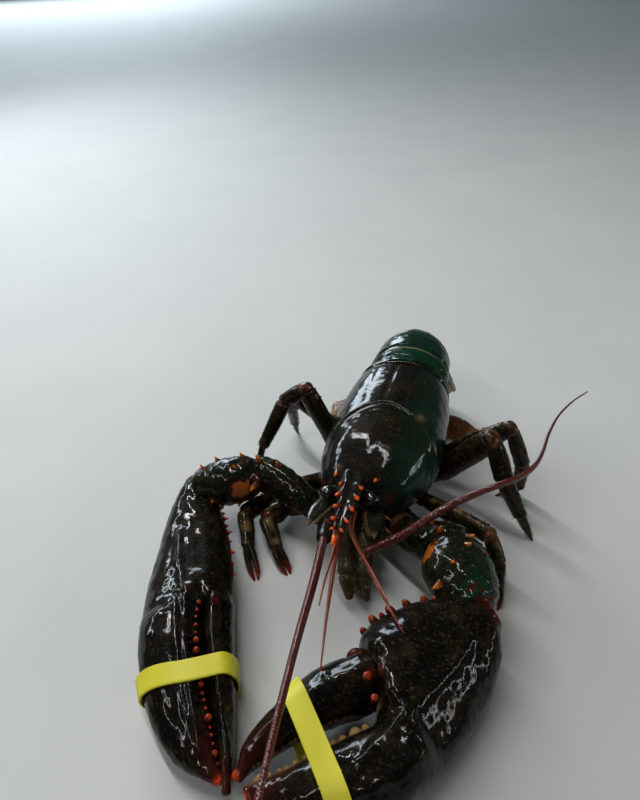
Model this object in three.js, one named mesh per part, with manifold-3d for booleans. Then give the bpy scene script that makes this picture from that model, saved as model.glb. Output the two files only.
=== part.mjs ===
// American lobster, life size, at rest on a flat floor with its tail tucked under.
// Millimetres, +Z up, head toward -Y. Crusher claw on +X, pincher claw on -X, bands on both.

import * as THREE from 'three';
import { mergeVertices } from 'three/addons/utils/BufferGeometryUtils.js';
import Module from 'manifold-3d';

const wasm = await Module();
wasm.setup();

// Driving dimensions
const GAP = 0.3;                // clearance between neighbouring plates
const REAR_EDGE = 54;           // y of the carapace's rear edge on the back line
const SOCKETS = -53;            // y of the eye sockets, so the carapace is 107 long
const LEAN = 5;                 // the belly lies this far to +X of the back line
const BODY_ROLL = rad(8);       // the whole trunk leans this far toward -X
const GROOVE_Y = 3;             // where the neck groove crosses the back
const GROOVE_SLANT = 0.62;      // run of the groove toward the head for each mm down
const BAND_WIDTH = 10;
const BAND_THICKNESS = 1.1;
const BAND_CLEARANCE = 0.9;     // the teeth of the fingers stand under the band
const PINCHER_LENGTH = 179;
const CRUSHER_LENGTH = 134;
const PINCHER_ROLL = rad(8);    // inner edge of the claw lifted by this angle
const CRUSHER_ROLL = rad(15);
const SPINE_SINK = 1.2;         // how deep the root of a spine goes in

const MIDDLE_X = 9.1;            // middle of the whole animal, feelers included, which
const MIDDLE_Y = -94.5;          // becomes the origin

const X = new THREE.Vector3(1, 0, 0);
const Z = new THREE.Vector3(0, 0, 1);

function rad(degrees) {
  return degrees * Math.PI / 180;
}

function vec(list) {
  return new THREE.Vector3(list[0], list[1], list[2]);
}

// Solids: every boolean goes through these few functions

function solidOf(geometry) {
  const bare = geometry.clone();
  bare.deleteAttribute('normal');
  bare.deleteAttribute('uv');
  const merged = mergeVertices(bare, 1e-4);
  return new wasm.Manifold(new wasm.Mesh({
    numProp: 3,
    vertProperties: new Float32Array(merged.attributes.position.array),
    triVerts: new Uint32Array(merged.index.array),
  }));
}

function fuse(solids) {
  return solids.reduce((sum, next) => sum.add(next));
}

function largest(solid) {
  const pieces = solid.decompose();
  return pieces.reduce((best, next) => (next.volume() > best.volume() ? next : best));
}

// Smooth curve through rows of numbers, read at t from 0 to the last row

function along(rows, t) {
  const last = rows.length - 1;
  const i = Math.min(Math.floor(t), last - 1);
  const f = t - i;
  const b = rows[i];
  const c = rows[i + 1];
  const a = i > 0 ? rows[i - 1] : b.map((v, k) => 2 * v - c[k]);
  const d = i + 2 <= last ? rows[i + 2] : c.map((v, k) => 2 * v - b[k]);
  return b.map((v, k) => 0.5 * (2 * v + (c[k] - a[k]) * f
    + (2 * a[k] - 5 * v + 4 * c[k] - d[k]) * f * f
    + (3 * v - a[k] - 3 * c[k] + d[k]) * f * f * f));
}

function power(value, exponent) {
  return Math.sign(value) * Math.abs(value) ** exponent;
}

// A closed body through oval rings. A row is x, y, z, half width, height above the
// centre, and, where they differ, depth below it and roll.
class Loft {
  constructor(rows, options = {}) {
    this.rows = rows.map((r) => [r[0], r[1], r[2], r[3], r[4], r[5] ?? r[4], r[6] ?? 0]);
    this.from = options.from ?? 0;
    this.to = options.to ?? rows.length - 1;
    this.sides = options.sides ?? 12;
    this.steps = options.steps ?? 2;
    this.square = 2 / (options.square ?? 2);
    this.up = options.up ?? Z;
    this.side = options.side ?? null;
    this.axis = options.axis ?? null;
    this.nose = options.nose ?? [0.5, 0.5];
    this.swell = options.swell ?? (() => 0);
  }

  frame(t) {
    const row = along(this.rows, t);
    const e = 0.02;
    const ahead = vec(along(this.rows, Math.min(t + e, this.rows.length - 1)));
    const behind = vec(along(this.rows, Math.max(t - e, 0)));
    const forward = this.axis ? this.axis.clone() : ahead.sub(behind).normalize();
    const across = this.side
      ? this.side.clone().addScaledVector(forward, -this.side.dot(forward)).normalize()
      : this.up.clone().cross(forward).normalize();
    const above = forward.clone().cross(across);
    const roll = row[6];
    const s = across.clone().multiplyScalar(Math.cos(roll)).addScaledVector(above, Math.sin(roll));
    const n = above.clone().multiplyScalar(Math.cos(roll)).addScaledVector(across, -Math.sin(roll));
    return { centre: vec(row), forward, s, n, row };
  }

  point(t, angle, grow = 0, scale = 1) {
    const { centre, s, n, row } = this.frame(t);
    const extra = grow + this.swell(t);
    const c = Math.cos(angle);
    const h = Math.sin(angle);
    const wide = (row[3] + extra) * scale * power(c, this.square);
    const high = ((h > 0 ? row[4] : row[5]) + extra) * scale * power(h, this.square);
    return centre.addScaledVector(s, wide).addScaledVector(n, high);
  }

  outward(t, angle) {
    const { centre, s, n } = this.frame(t);
    const p = this.point(t, angle);
    const flat = s.multiplyScalar(Math.cos(angle)).addScaledVector(n, Math.sin(angle));
    return p.sub(centre).normalize().add(flat).normalize();
  }

  geometry(grow = 0) {
    const spans = Math.max(1, Math.round((this.to - this.from) * this.steps));
    const rings = [];
    const ring = (t, shift, scale) => {
      const push = this.frame(t).forward.multiplyScalar(shift);
      const list = [];
      for (let j = 0; j < this.sides; j += 1) {
        list.push(this.point(t, 2 * Math.PI * j / this.sides, grow, scale).add(push));
      }
      return list;
    };
    const reach = (t, nose) => {
      const row = this.frame(t).row;
      return nose * Math.min(row[3], row[4], row[5]);
    };
    const n0 = reach(this.from, this.nose[0]);
    const n1 = reach(this.to, this.nose[1]);
    if (n0 > 0) rings.push(ring(this.from, -0.7 * n0 - grow, 0.7));
    rings.push(ring(this.from, -grow, 1));
    for (let k = 1; k < spans; k += 1) {
      rings.push(ring(this.from + (this.to - this.from) * k / spans, 0, 1));
    }
    rings.push(ring(this.to, grow, 1));
    if (n1 > 0) rings.push(ring(this.to, 0.7 * n1 + grow, 0.7));
    const first = this.frame(this.from);
    const last = this.frame(this.to);
    const start = first.centre.addScaledVector(first.forward, -n0 - grow);
    const end = last.centre.addScaledVector(last.forward, n1 + grow);
    return skin(rings, start, end);
  }

  solid(grow = 0) {
    return solidOf(this.geometry(grow));
  }
}

function skin(rings, start, end) {
  const sides = rings[0].length;
  const points = [start, ...rings.flat(), end];
  const index = [];
  const at = (i, j) => 1 + i * sides + (j % sides);
  for (let j = 0; j < sides; j += 1) {
    index.push(0, at(0, j + 1), at(0, j));
    for (let i = 0; i + 1 < rings.length; i += 1) {
      index.push(at(i, j), at(i, j + 1), at(i + 1, j + 1));
      index.push(at(i, j), at(i + 1, j + 1), at(i + 1, j));
    }
    index.push(points.length - 1, at(rings.length - 1, j), at(rings.length - 1, j + 1));
  }
  const geometry = new THREE.BufferGeometry();
  geometry.setFromPoints(points);
  geometry.setIndex(index);
  return geometry;
}

// Spines, beads and blades, each a few triangles with its root sunk in

function thorn(base, direction, length, radius, sides = 5, flat = 1) {
  const geometry = new THREE.ConeGeometry(radius, length + SPINE_SINK, sides);
  geometry.translate(0, (length + SPINE_SINK) / 2 - SPINE_SINK, 0);
  geometry.scale(1, 1, flat);
  const turn = new THREE.Quaternion().setFromUnitVectors(new THREE.Vector3(0, 1, 0), direction);
  geometry.applyQuaternion(turn);
  geometry.translate(base.x, base.y, base.z);
  return solidOf(geometry);
}

function thornOn(loft, t, degrees, length, radius, lean = 0.4) {
  const angle = rad(degrees);
  const direction = loft.outward(t, angle).addScaledVector(loft.frame(t).forward, lean).normalize();
  return thorn(loft.point(t, angle), direction, length, radius);
}

function bead(centre, radius) {
  const geometry = new THREE.IcosahedronGeometry(radius, 0);
  geometry.translate(centre.x, centre.y, centre.z);
  return solidOf(geometry);
}

function slab(width, depth, height, x, y, z) {
  const geometry = new THREE.BoxGeometry(width, depth, height);
  geometry.translate(x, y, z);
  return solidOf(geometry);
}

const belowFloor = slab(900, 900, 60, 0, 0, -30);

// Pieces: each becomes one named mesh, placed at its root

const lobster = new THREE.Group();
const groups = {};
const SHELL = { colour: 0x1c1f14, roughness: 0.22 };
const LEG_SHELL = { colour: 0x2c1d12, roughness: 0.3 };
const TAIL_SHELL = { colour: 0x15291f, roughness: 0.2 };
const FEELER = { colour: 0x5e1a10, roughness: 0.35 };
const FAN = { colour: 0x6a3a16, roughness: 0.35 };
const EYE = { colour: 0x050506, roughness: 0.08 };
const MOUTH = { colour: 0x5a4630, roughness: 0.45 };
const BAND = { colour: 0xcfc832, roughness: 0.5 };

function groupOf(name) {
  if (!groups[name]) {
    groups[name] = new THREE.Group();
    groups[name].name = name;
    lobster.add(groups[name]);
  }
  return groups[name];
}

function piece(group, name, solid, look, root) {
  const kept = largest(solid.subtract(belowFloor));
  const mesh = kept.getMesh();
  const geometry = new THREE.BufferGeometry();
  geometry.setAttribute('position', new THREE.BufferAttribute(new Float32Array(mesh.vertProperties), 3));
  geometry.setIndex(Array.from(mesh.triVerts));
  geometry.translate(-root[0], -root[1], -root[2]);
  const material = new THREE.MeshStandardMaterial({
    color: look.colour, roughness: look.roughness, metalness: 0,
  });
  const part = new THREE.Mesh(geometry, material);
  part.name = name;
  part.position.set(root[0], root[1], root[2]);
  groupOf(group).add(part);
  return kept;
}

// Carapace: one shell, parted along the neck groove. A row runs front to rear.

const HEADWARD = new THREE.Vector3(0, -1, 0);
const carapace = new Loft([
  [LEAN - 1.0, REAR_EDGE, 45, 31, 27, 22, BODY_ROLL],
  [LEAN, 34, 43, 34.5, 30.5, 25, BODY_ROLL],
  [LEAN + 0.6, 14, 41.5, 36.1, 31, 25, BODY_ROLL],
  [LEAN + 1.6, -6, 40, 36.6, 30, 24, BODY_ROLL],
  [LEAN + 1.5, -24, 38.5, 34, 27.5, 21, BODY_ROLL],
  [LEAN + 0.2, -39, 37.5, 28.2, 22, 17, BODY_ROLL],
  [LEAN - 3, SOCKETS + 1, 37, 19, 15.5, 11, BODY_ROLL],
], { sides: 20, steps: 2, square: 2.2, axis: HEADWARD, nose: [0, 0.35] });

function grooveCut(offset) {
  const reach = 130;
  const shape = new THREE.Shape();
  const low = GROOVE_Y - GROOVE_SLANT * reach;
  const high = GROOVE_Y + GROOVE_SLANT * reach;
  shape.moveTo(low + offset, -reach);
  shape.lineTo(high + offset, reach);
  shape.lineTo(400, reach);
  shape.lineTo(400, -reach);
  shape.closePath();
  const geometry = new THREE.ExtrudeGeometry(shape, { depth: 300, bevelEnabled: false, steps: 1 });
  geometry.rotateX(Math.PI / 2);
  geometry.rotateZ(Math.PI / 2);
  geometry.translate(-150, 0, 71);
  return solidOf(geometry);
}

const rostrum = new Loft([
  [2, -34, 56, 5, 3],
  [1, -44, 53.6, 7.2, 3.4],
  [1, -54, 51, 6.9, 3.7],
  [1.6, -66, 48.6, 5, 3.4],
  [2.2, -78, 46.6, 3.4, 2.6],
  [2.8, -90, 45.8, 0.9, 0.9],
], { sides: 10, steps: 2, nose: [0.5, 1.6] });

function rostralSpines() {
  const list = [];
  for (const [t, length, radius] of [[2.25, 3, 1.6], [3.0, 3.4, 1.6], [3.75, 3.4, 1.5], [4.35, 3, 1.3]]) {
    for (const degrees of [20, 160]) {
      list.push(thornOn(rostrum, t, degrees, length, radius, 0.9));
    }
  }
  return list;
}

function browSpines() {
  const list = [];
  for (const [x, z] of [[-10.5, 51.5], [13, 54]]) {
    list.push(thorn(new THREE.Vector3(x, -45, z), vec([0, -0.9, 0.45]).normalize(), 5, 1.7));
    list.push(thorn(new THREE.Vector3(x * 1.6 + 1, -43.5, z - 10), vec([0, -1, 0.1]).normalize(), 6, 1.8));
  }
  return list;
}

// Breast plate between the legs

const sternum = new Loft([
  [LEAN, 34, 20, 13, 4, 6],
  [LEAN, 20, 18.5, 15, 5, 7],
  [LEAN, 0, 17, 14, 5, 7],
  [LEAN - 1, -20, 17.5, 12, 5, 6.5],
  [LEAN - 2, -38, 20, 9, 4, 5],
], { sides: 10, steps: 1, square: 3, axis: HEADWARD, nose: [0.3, 0.3] });

// Eyes on short stalks, in the sockets beside the rostrum

const EYES = {
  left: { stalk: [8, -49, 46.5], eye: [13.5, -54.5, 47.5] },
  right: { stalk: [-7, -49, 44.5], eye: [-12.5, -54.5, 44.5] },
};
const EYE_RADIUS = 4.6;

function eyeSolid({ stalk, eye }) {
  const ball = new THREE.SphereGeometry(EYE_RADIUS, 9, 6);
  ball.scale(1, 0.94, 0.94);
  ball.translate(eye[0], eye[1], eye[2]);
  const neck = new Loft([[...stalk, 2.6, 2.6], [...eye, 3.2, 3.2]], { sides: 8, steps: 1, nose: [0.3, 0.1] });
  return solidOf(ball).add(neck.solid());
}

// Big feelers: base joints with a leaf-shaped scale, then the whip in two lengths

const FEELER_BASES = {
  left: [[11, -47, 31, 6.5, 6], [15, -56, 32, 6.8, 6.2], [19.5, -66, 33.5, 5.4, 5], [23, -74, 35.5, 4.2, 4]],
  right: [[-7, -47, 29, 6.5, 6], [-9, -57, 30, 6.8, 6.2], [-8.5, -69, 32, 5.2, 5], [-6.5, -79, 34.5, 4.2, 4]],
};

const SCALES = {
  left: [[15, -53, 39.5, 4.5, 1.2], [17.5, -61, 40.5, 4.7, 1.2], [19.5, -69, 41, 3.2, 1], [21, -75, 41.5, 0.8, 0.6]],
  right: [[-13, -52, 37, 4.5, 1.2], [-15.5, -60, 38, 4.7, 1.2], [-16.5, -69, 39, 3.2, 1], [-16.5, -76, 39.5, 0.8, 0.6]],
};

const WHIPS = {
  left: [[23.6, -75.6, 35.9, 2.6], [36.2, -68.5, 43, 2.5], [47, -58.6, 49, 2.4], [57.8, -46.8, 52, 2.3],
    [69.2, -35.1, 53, 2.1], [81.1, -22.4, 52, 1.9], [89.5, -9, 48, 1.7], [96, 8, 43.5, 1.5],
    [99.5, 27, 40, 1.25], [102, 50, 38, 1.05], [107, 72, 38, 0.8], [115, 89, 39.5, 0.6], [123, 99, 42, 0.4]],
  right: [[-6, -81.5, 35.2, 2.5], [-3.5, -94, 36.5, 2.4], [0.5, -114, 39.5, 2.3], [4.3, -136, 43.5, 2.1],
    [8, -156, 47.5, 1.9], [12.3, -177.1, 52, 1.8], [16.4, -196.7, 56, 1.65], [21.2, -218.6, 59, 1.5],
    [26.5, -241, 58.5, 1.3], [33, -263, 54, 1.05], [41, -284, 46, 0.75], [50, -302, 36, 0.4]],
};

function whip(side, from, to) {
  const rows = WHIPS[side].map((r) => [r[0], r[1], r[2], r[3], r[3]]);
  return new Loft(rows, { from, to, sides: 7, steps: 2, nose: [0, to === rows.length - 1 ? 1 : 0] });
}

// Small feelers: two fine strands each

const ANTENNULES = {
  left: [
    [[5.5, -62, 42.5, 2.2, 2.2], [6.5, -70, 38, 2, 2], [12.5, -79, 37.5, 1.2, 1.2], [23.1, -93.5, 40, 1.1, 1.1],
      [36, -111, 43.5, 0.9, 0.9], [51, -129, 45, 0.4, 0.4]],
    [[7.2, -73, 37.4, 1.1, 1.1], [15, -84, 39.5, 0.9, 0.9], [26.5, -98.5, 43.5, 0.7, 0.7], [39, -115.5, 48, 0.4, 0.4]],
  ],
  right: [
    [[-1.5, -62, 41, 2.2, 2.2], [0.6, -74, 36.5, 2, 2], [3.4, -86, 36, 1.3, 1.3], [8, -107, 37, 1.2, 1.2],
      [13.5, -130, 38.3, 0.8, 0.8], [20, -155, 39, 0.4, 0.4]],
    [[0.8, -78, 36, 1.1, 1.1], [3, -91, 38.5, 0.9, 0.9], [5.5, -109, 41.5, 0.7, 0.7], [9, -127, 44.5, 0.4, 0.4]],
  ],
};

function strands(side) {
  const [outer, inner] = ANTENNULES[side];
  return fuse([
    new Loft(outer, { sides: 5, steps: 1.4, nose: [0.5, 1] }).solid(),
    new Loft(inner, { sides: 5, steps: 1.4, nose: [0.5, 1] }).solid(),
  ]);
}

// Mouth: the two outermost jaw legs, folded down below the feelers

const JAW_LEGS = {
  left: [[10, -46, 22, 5, 5.5], [12.6, -58, 24, 5.2, 6], [15.2, -72, 23, 4.8, 5.6], [18, -83, 17, 4.4, 5],
    [21.5, -89.5, 8, 2.4, 2.8]],
  right: [[-1, -46, 21, 5, 5.5], [1.4, -58, 23, 5.2, 6], [5, -74, 22.5, 4.8, 5.6], [8.6, -86, 18, 4.4, 5],
    [12.8, -93, 10, 2.4, 2.8]],
};

// Claws: one outline is split into palm with fixed finger, and moving finger.
// A row is distance from the wrist, outer edge, inner edge, half thickness, centre height.

const PINCHER_ROWS = [
  [0, -10, 5.5, 8, 25], [10, -16.5, 8.5, 10.5, 21.5], [22, -21.5, 11.5, 12.5, 17.8], [42, -27, 14.3, 14, 15],
  [66, -32.5, 14.8, 15, 14.7], [88, -35.3, 13.4, 15, 15], [106, -35.8, 11.8, 14, 16.2],
  [126, -33.8, 10.8, 12, 15.6], [146, -28.3, 9, 9.5, 14], [161, -19.2, 7, 6.5, 12.5], [171, -8.5, 4.8, 3.8, 11.8],
  [PINCHER_LENGTH, 0, 3.4, 1.8, 11.4],
];
const CRUSHER_ROWS = [
  [0, -15.5, 4.5, 9.5, 31.5], [6, -23, 10.5, 13, 28.5], [14, -28.5, 16.5, 16.5, 25.5], [24, -33.5, 21, 19, 23],
  [38, -38.8, 23.4, 21.5, 21.8], [54, -42.8, 22.4, 22, 21.8], [67, -45.8, 16, 21, 21.6], [81, -46, 20.5, 18, 20.8],
  [98, -41.5, 20.3, 14.5, 18.8], [115, -31.5, 17, 11, 16], [126, -22, 12.2, 8.2, 14.8],
  [CRUSHER_LENGTH, -5.5, 4.8, 2.4, 13.4],
];

class Claw {
  constructor(rows, wrist, tip, inward, roll, sides) {
    this.axis = new THREE.Vector3(tip[0] - wrist[0], tip[1] - wrist[1], 0).normalize();
    this.inner = new THREE.Vector3(this.axis.y, -this.axis.x, 0).multiplyScalar(inward);
    this.wrist = wrist;
    this.roll = roll;
    const sin = Math.sin(roll);
    const cos = Math.cos(roll);
    const turn = this.inner.dot(Z.clone().cross(this.axis)) * roll;
    this.outline = rows;
    this.whole = new Loft(rows.map(([s, outer, inner, thick, height]) => {
      const middle = this.flat(s, (outer + inner) / 2, height);
      const seen = (inner - outer) / 2;
      const wide = Math.sqrt(Math.max(seen ** 2 - (thick * sin) ** 2, 0.6)) / cos;
      return [middle.x, middle.y, height, wide, thick, thick, turn];
    }), { axis: this.axis, sides, steps: 1.15, square: 2.15, nose: [0.5, 1] });
  }

  // Point at distance s from the wrist, e toward the inner edge, at height z
  flat(s, e, z) {
    return new THREE.Vector3(this.wrist[0], this.wrist[1], 0)
      .addScaledVector(this.axis, s).addScaledVector(this.inner, e).setZ(z);
  }

  // A prism over a plan outline, standing square to the rolled claw
  prism(plan, z) {
    const shape = new THREE.Shape(plan.map(([s, e]) => new THREE.Vector2(s, e)));
    const geometry = new THREE.ExtrudeGeometry(shape, { depth: 120, bevelEnabled: false, steps: 1 });
    geometry.translate(0, 0, -60);
    const e = this.inner.clone().multiplyScalar(Math.cos(this.roll)).addScaledVector(Z, Math.sin(this.roll));
    const n = this.axis.clone().cross(e);
    geometry.applyMatrix4(new THREE.Matrix4().makeBasis(this.axis, e, n));
    geometry.translate(this.wrist[0], this.wrist[1], z);
    return solidOf(geometry);
  }
}

const PINCHER_WRIST = [-99, -54];
const CRUSHER_WRIST = [80, -95];
const pincher = new Claw(PINCHER_ROWS, PINCHER_WRIST, [-9, -202], -1, PINCHER_ROLL, 18);
const crusher = new Claw(CRUSHER_ROWS, CRUSHER_WRIST, [-4, -206], 1, CRUSHER_ROLL, 19);

// Where the two fingers meet, as distance from the wrist and offset to the inner edge
const PINCHER_BITE = [[86, -4], [100, -2.5], [125, -2], [150, -1], [166, 0.4], [PINCHER_LENGTH + 20, 2.2]];
const CRUSHER_FIXED_BITE = [
  [66, -17], [80, -13.5], [93, -11], [105, -8.8], [118, -6], [128, -3.4], [CRUSHER_LENGTH + 20, -0.6],
];
const CRUSHER_MOVING_BITE = [
  [68, -9.5], [84, -4.6], [94, -1.2], [104, -0.2], [114, 1.4], [122, 2.2], [129, 1.2], [CRUSHER_LENGTH + 20, 0.2],
];

function beyondBite(claw, bite, offset, hinge, z) {
  const far = bite[bite.length - 1][0];
  const plan = [
    ...bite.map(([s, e], i) => [s + (i === 0 ? offset : 0), e + offset]),
    [far, 90], [hinge + offset, 90], [hinge + offset, 12],
  ];
  return claw.prism(plan, z);
}

function biteTeeth(claw, bite, from, to, count, size, lift, push) {
  const list = [];
  for (let i = 0; i < count; i += 1) {
    const s = from + (to - from) * i / (count - 1);
    const k = bite.findIndex((row) => row[0] > s);
    const [s0, e0] = bite[k - 1];
    const [s1, e1] = bite[k];
    const e = e0 + (e1 - e0) * (s - s0) / (s1 - s0) + push;
    const big = size * (1 - 0.45 * Math.abs(2 * i / (count - 1) - 0.8)) * (i % 3 === 1 ? 1.25 : 0.9);
    list.push(bead(claw.flat(s, e, lift(s)), big));
  }
  return list;
}

function edgeSpines(claw, rows) {
  return rows.map(([s, e, z, length, radius]) => {
    const direction = claw.inner.clone().addScaledVector(Z, 0.35).addScaledVector(claw.axis, 0.3).normalize();
    return thorn(claw.flat(s, e, z), direction, length, radius);
  });
}

function knuckles(claw, rows) {
  return rows.map(([s, e, z, radius]) => bead(claw.flat(s, e, z), radius));
}

// Arms: upper arm with its hip joint, then the wrist joint that carries the claw

const PINCHER_HIP = new Loft([
  [-6, -34, 18, 7, 7], [-15, -42, 20, 7.5, 8], [-22, -50, 24, 8, 9],
], { sides: 9, steps: 1.5 });
const PINCHER_UPPER = new Loft([
  [-22, -50, 24, 7, 8, 7], [-32, -48, 28, 8.5, 10, 9], [-47, -43.5, 31.5, 9.5, 12.5, 11], [-59, -41, 32.5, 9.5, 13, 12],
  [-65, -41, 32.5, 8, 11],
], { sides: 11, steps: 1.5, nose: [0.5, 0.3] });
const PINCHER_WRIST_JOINT = new Loft([
  [-62, -43, 32.5, 9, 10], [-69, -46, 32, 13, 14], [-80, -52, 30.5, 14.5, 15], [-90, -56, 28.5, 12, 12.5],
  [-98, -57, 26.5, 8, 8.5],
], { sides: 10, steps: 1.4, nose: [0.4, 0.4] });
const CRUSHER_HIP = new Loft([
  [15, -34, 18, 7.5, 7.5], [24, -42, 21, 8, 8.5], [31, -50, 25, 8.5, 9],
], { sides: 9, steps: 1.5 });
const CRUSHER_UPPER = new Loft([
  [31, -50, 24, 8, 9], [40, -54, 26.5, 10, 11.5, 11], [51, -58, 29.5, 11.5, 13, 12], [60, -60, 32, 12, 14, 13],
  [66, -62, 33, 10, 12],
], { sides: 11, steps: 1.5, nose: [0.5, 0.3] });
const CRUSHER_WRIST_JOINT = new Loft([
  [59, -62, 33, 11, 11.5], [62.5, -68, 34, 16.5, 15], [67.5, -78, 34, 18.5, 16.5], [74.5, -88, 32.5, 16, 14.5],
  [80, -95, 31, 10.5, 11],
], { sides: 11, steps: 1.5, nose: [0.4, 0.4] });

function thorns(loft, rows) {
  return rows.map(([t, degrees, length, radius]) => thornOn(loft, t, degrees, length, radius));
}

const PINCHER_UPPER_SPINES = [
  [1.2, 215, 3, 1.6], [1.8, 220, 3.6, 1.8], [2.4, 222, 4.2, 2], [3.0, 225, 4.6, 2.1], [3.3, 80, 5.5, 2.2], [2.3, 95, 3, 1.6],
];
const CRUSHER_UPPER_SPINES = [
  [1.2, 330, 3, 1.6], [1.8, 325, 3.6, 1.8], [2.4, 320, 4.4, 2], [3.1, 318, 5, 2.3], [2.7, 105, 6, 2.4], [2.0, 85, 3, 1.6],
];
const PINCHER_WRIST_SPINES = [
  [0.9, 215, 5, 2.4], [1.5, 222, 4.2, 2], [2.2, 228, 4, 1.9], [1.1, 150, 3, 1.7], [1.9, 135, 3, 1.7],
  [2.5, 95, 3.4, 1.8], [1.6, 75, 2.8, 1.6], [3.0, 200, 3.4, 1.8],
];
const CRUSHER_WRIST_SPINES = [
  [0.8, 345, 5, 2.6], [1.5, 340, 4, 2], [2.3, 335, 4.6, 2.2], [1.0, 60, 3.6, 1.9], [1.6, 75, 3.6, 2],
  [2.6, 150, 6.5, 2.6], [3.1, 170, 5, 2.2], [2.2, 110, 3, 1.7],
];

// Walking legs: hip and upper leg, then shank, foot and claw

const LEG_ROWS = {
  left_2: { hip: [17, -22, 16], bend: [30, -28, 13], knee: [50, -45, 12], wrist: [62, -62, 9],
    ankle: [69, -75, 5], tip: [74, -86, 0.2], size: 0.8, pincer: true },
  left_3: { hip: [18, -6, 17], bend: [39, -23, 25], knee: [79, -44, 31], wrist: [85.5, -51.5, 19],
    ankle: [88, -59, 8.5], tip: [89, -68, 0.2], size: 0.95, pincer: true },
  left_4: { hip: [19, 8, 17], bend: [40, 7, 22], knee: [70, 2, 62], wrist: [80.5, -4.5, 38],
    ankle: [94, -8.5, 15], tip: [103, -10.5, 0], size: 1.15 },
  left_5: { hip: [18, 22, 19], bend: [38, 21, 25], knee: [79, 18, 60], wrist: [89, 20, 32],
    ankle: [90, 24, 9], tip: [77, 21, 0.2], size: 0.95 },
  right_2: { hip: [-8, -22, 16], bend: [-22, -29, 13], knee: [-45, -44, 12], wrist: [-50, -60, 15],
    ankle: [-39, -74, 8], tip: [-28, -83, 0], size: 1.15, pincer: true },
  right_3: { hip: [-8, -6, 17], bend: [-24, -10, 14], knee: [-58, -38, 13], wrist: [-65, -60, 14.5],
    ankle: [-55, -79, 8.5], tip: [-44, -93, 0], size: 1.12, pincer: true },
  right_4: { hip: [-8, 8, 17], bend: [-28, 9, 22], knee: [-52, 11, 66], wrist: [-66, 8, 52],
    ankle: [-77, -8, 24], tip: [-80, -18, 0], size: 1.05 },
  right_5: { hip: [-8, 22, 19], bend: [-27, 22, 25], knee: [-59, 17, 50], wrist: [-67, 22, 38],
    ankle: [-71, 34, 14], tip: [-72, 41, 0], size: 0.85 },
};

function mix(a, b, f) {
  return a.map((v, k) => v + (b[k] - v) * f);
}

function upperLeg({ hip, bend, knee, size }) {
  return new Loft([
    [...hip, 4.5 * size, 4.5 * size],
    [...bend, 4.6 * size, 5.2 * size],
    [...mix(bend, knee, 0.35), 4.6 * size, 6.6 * size],
    [...mix(bend, knee, 0.8), 4.8 * size, 6.6 * size],
    [...knee, 4.4 * size, 5 * size],
  ], { sides: 8, steps: 1.5, nose: [0.4, 0.7] });
}

function lowerLeg({ bend, knee, wrist, ankle, size }, shift = [0, 0, 0]) {
  const start = mix(knee, wrist, 0.12);
  const rows = [
    [...start, 4 * size, 4.2 * size],
    [...mix(knee, wrist, 0.5), 4.6 * size, 5.2 * size],
    [...wrist, 4.2 * size, 4.8 * size],
    [...mix(wrist, ankle, 0.5), 3.4 * size, 4.4 * size],
    [...ankle, 2.8 * size, 3.4 * size],
  ];
  const outward = new THREE.Vector3(knee[0] - bend[0], knee[1] - bend[1], 0).normalize();
  return new Loft(rows.map((r) => [r[0] + shift[0], r[1] + shift[1], r[2] + shift[2], r[3], r[4]]), {
    sides: 8, steps: 1.2, up: outward.addScaledVector(Z, 0.6).normalize(), nose: [0.7, 0.4],
  });
}

function toe({ ankle, tip, size }, spread) {
  const across = new THREE.Vector3(tip[0] - ankle[0], tip[1] - ankle[1], 0).normalize().cross(Z);
  const shift = (f) => across.clone().multiplyScalar(spread * f).toArray();
  const add = (p, q) => p.map((v, k) => v + q[k]);
  return new Loft([
    [...add(ankle, shift(0.6)), 1.9 * size, 2.6 * size],
    [...add(mix(ankle, tip, 0.5), shift(1.3)), 1.6 * size, 2 * size],
    [...add(tip, shift(0.7)), 0.7 * size, 0.8 * size],
  ], { sides: 5, steps: 1, nose: [0.4, 0.8] });
}

// Tail: six rings on one arch, then the fan, which lies on the floor pointing forward

const ARCH = [
  [LEAN, 50, 51.5, 28, 20.5, 14, -BODY_ROLL],
  [LEAN - 0.4, 62, 54.5, 27.5, 22, 15, -BODY_ROLL],
  [LEAN - 1, 76, 54.5, 26, 23.5, 15, -BODY_ROLL * 0.8],
  [LEAN - 2, 88, 50, 24.5, 23, 14, -BODY_ROLL * 0.6],
  [LEAN - 3, 96, 41, 23.5, 20.5, 12, -BODY_ROLL * 0.4],
  [LEAN - 4, 98, 30.5, 22.5, 17, 10.5, -BODY_ROLL * 0.2],
  [LEAN - 5, 91, 20.5, 21.5, 14, 9, 0],
  [LEAN - 6, 80, 12.5, 19, 11, 7.5, 0],
  [LEAN - 6.5, 68, 8.2, 15, 8, 5.5, 0],
];
const TAIL_JOINTS = [0.4, 1.12, 2.35, 3.5, 4.6, 5.7, 7.15];

function tailRing(number) {
  const from = TAIL_JOINTS[number - 1];
  const to = TAIL_JOINTS[number];
  const length = to - from;
  const rim = (t) => {
    const f = (t - from) / length;
    return f < 0.15 ? -0.9 : 0.9 * (f - 0.3);
  };
  return new Loft(ARCH, {
    from: from + 0.03, to, sides: 16, steps: 2.6 / length, square: 1.85, side: X.clone().negate(), nose: [0, 0], swell: rim,
  });
}

// A side plate: distance down, half breadth and sweep to the rear in ring lengths, half thickness
const PLATE_ROWS = [
  [-0.3, 0.42, 0, 1.3], [0.2, 0.45, 0.05, 1.6], [0.65, 0.34, 0.17, 1.4], [1, 0.1, 0.34, 0.9],
];

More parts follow.
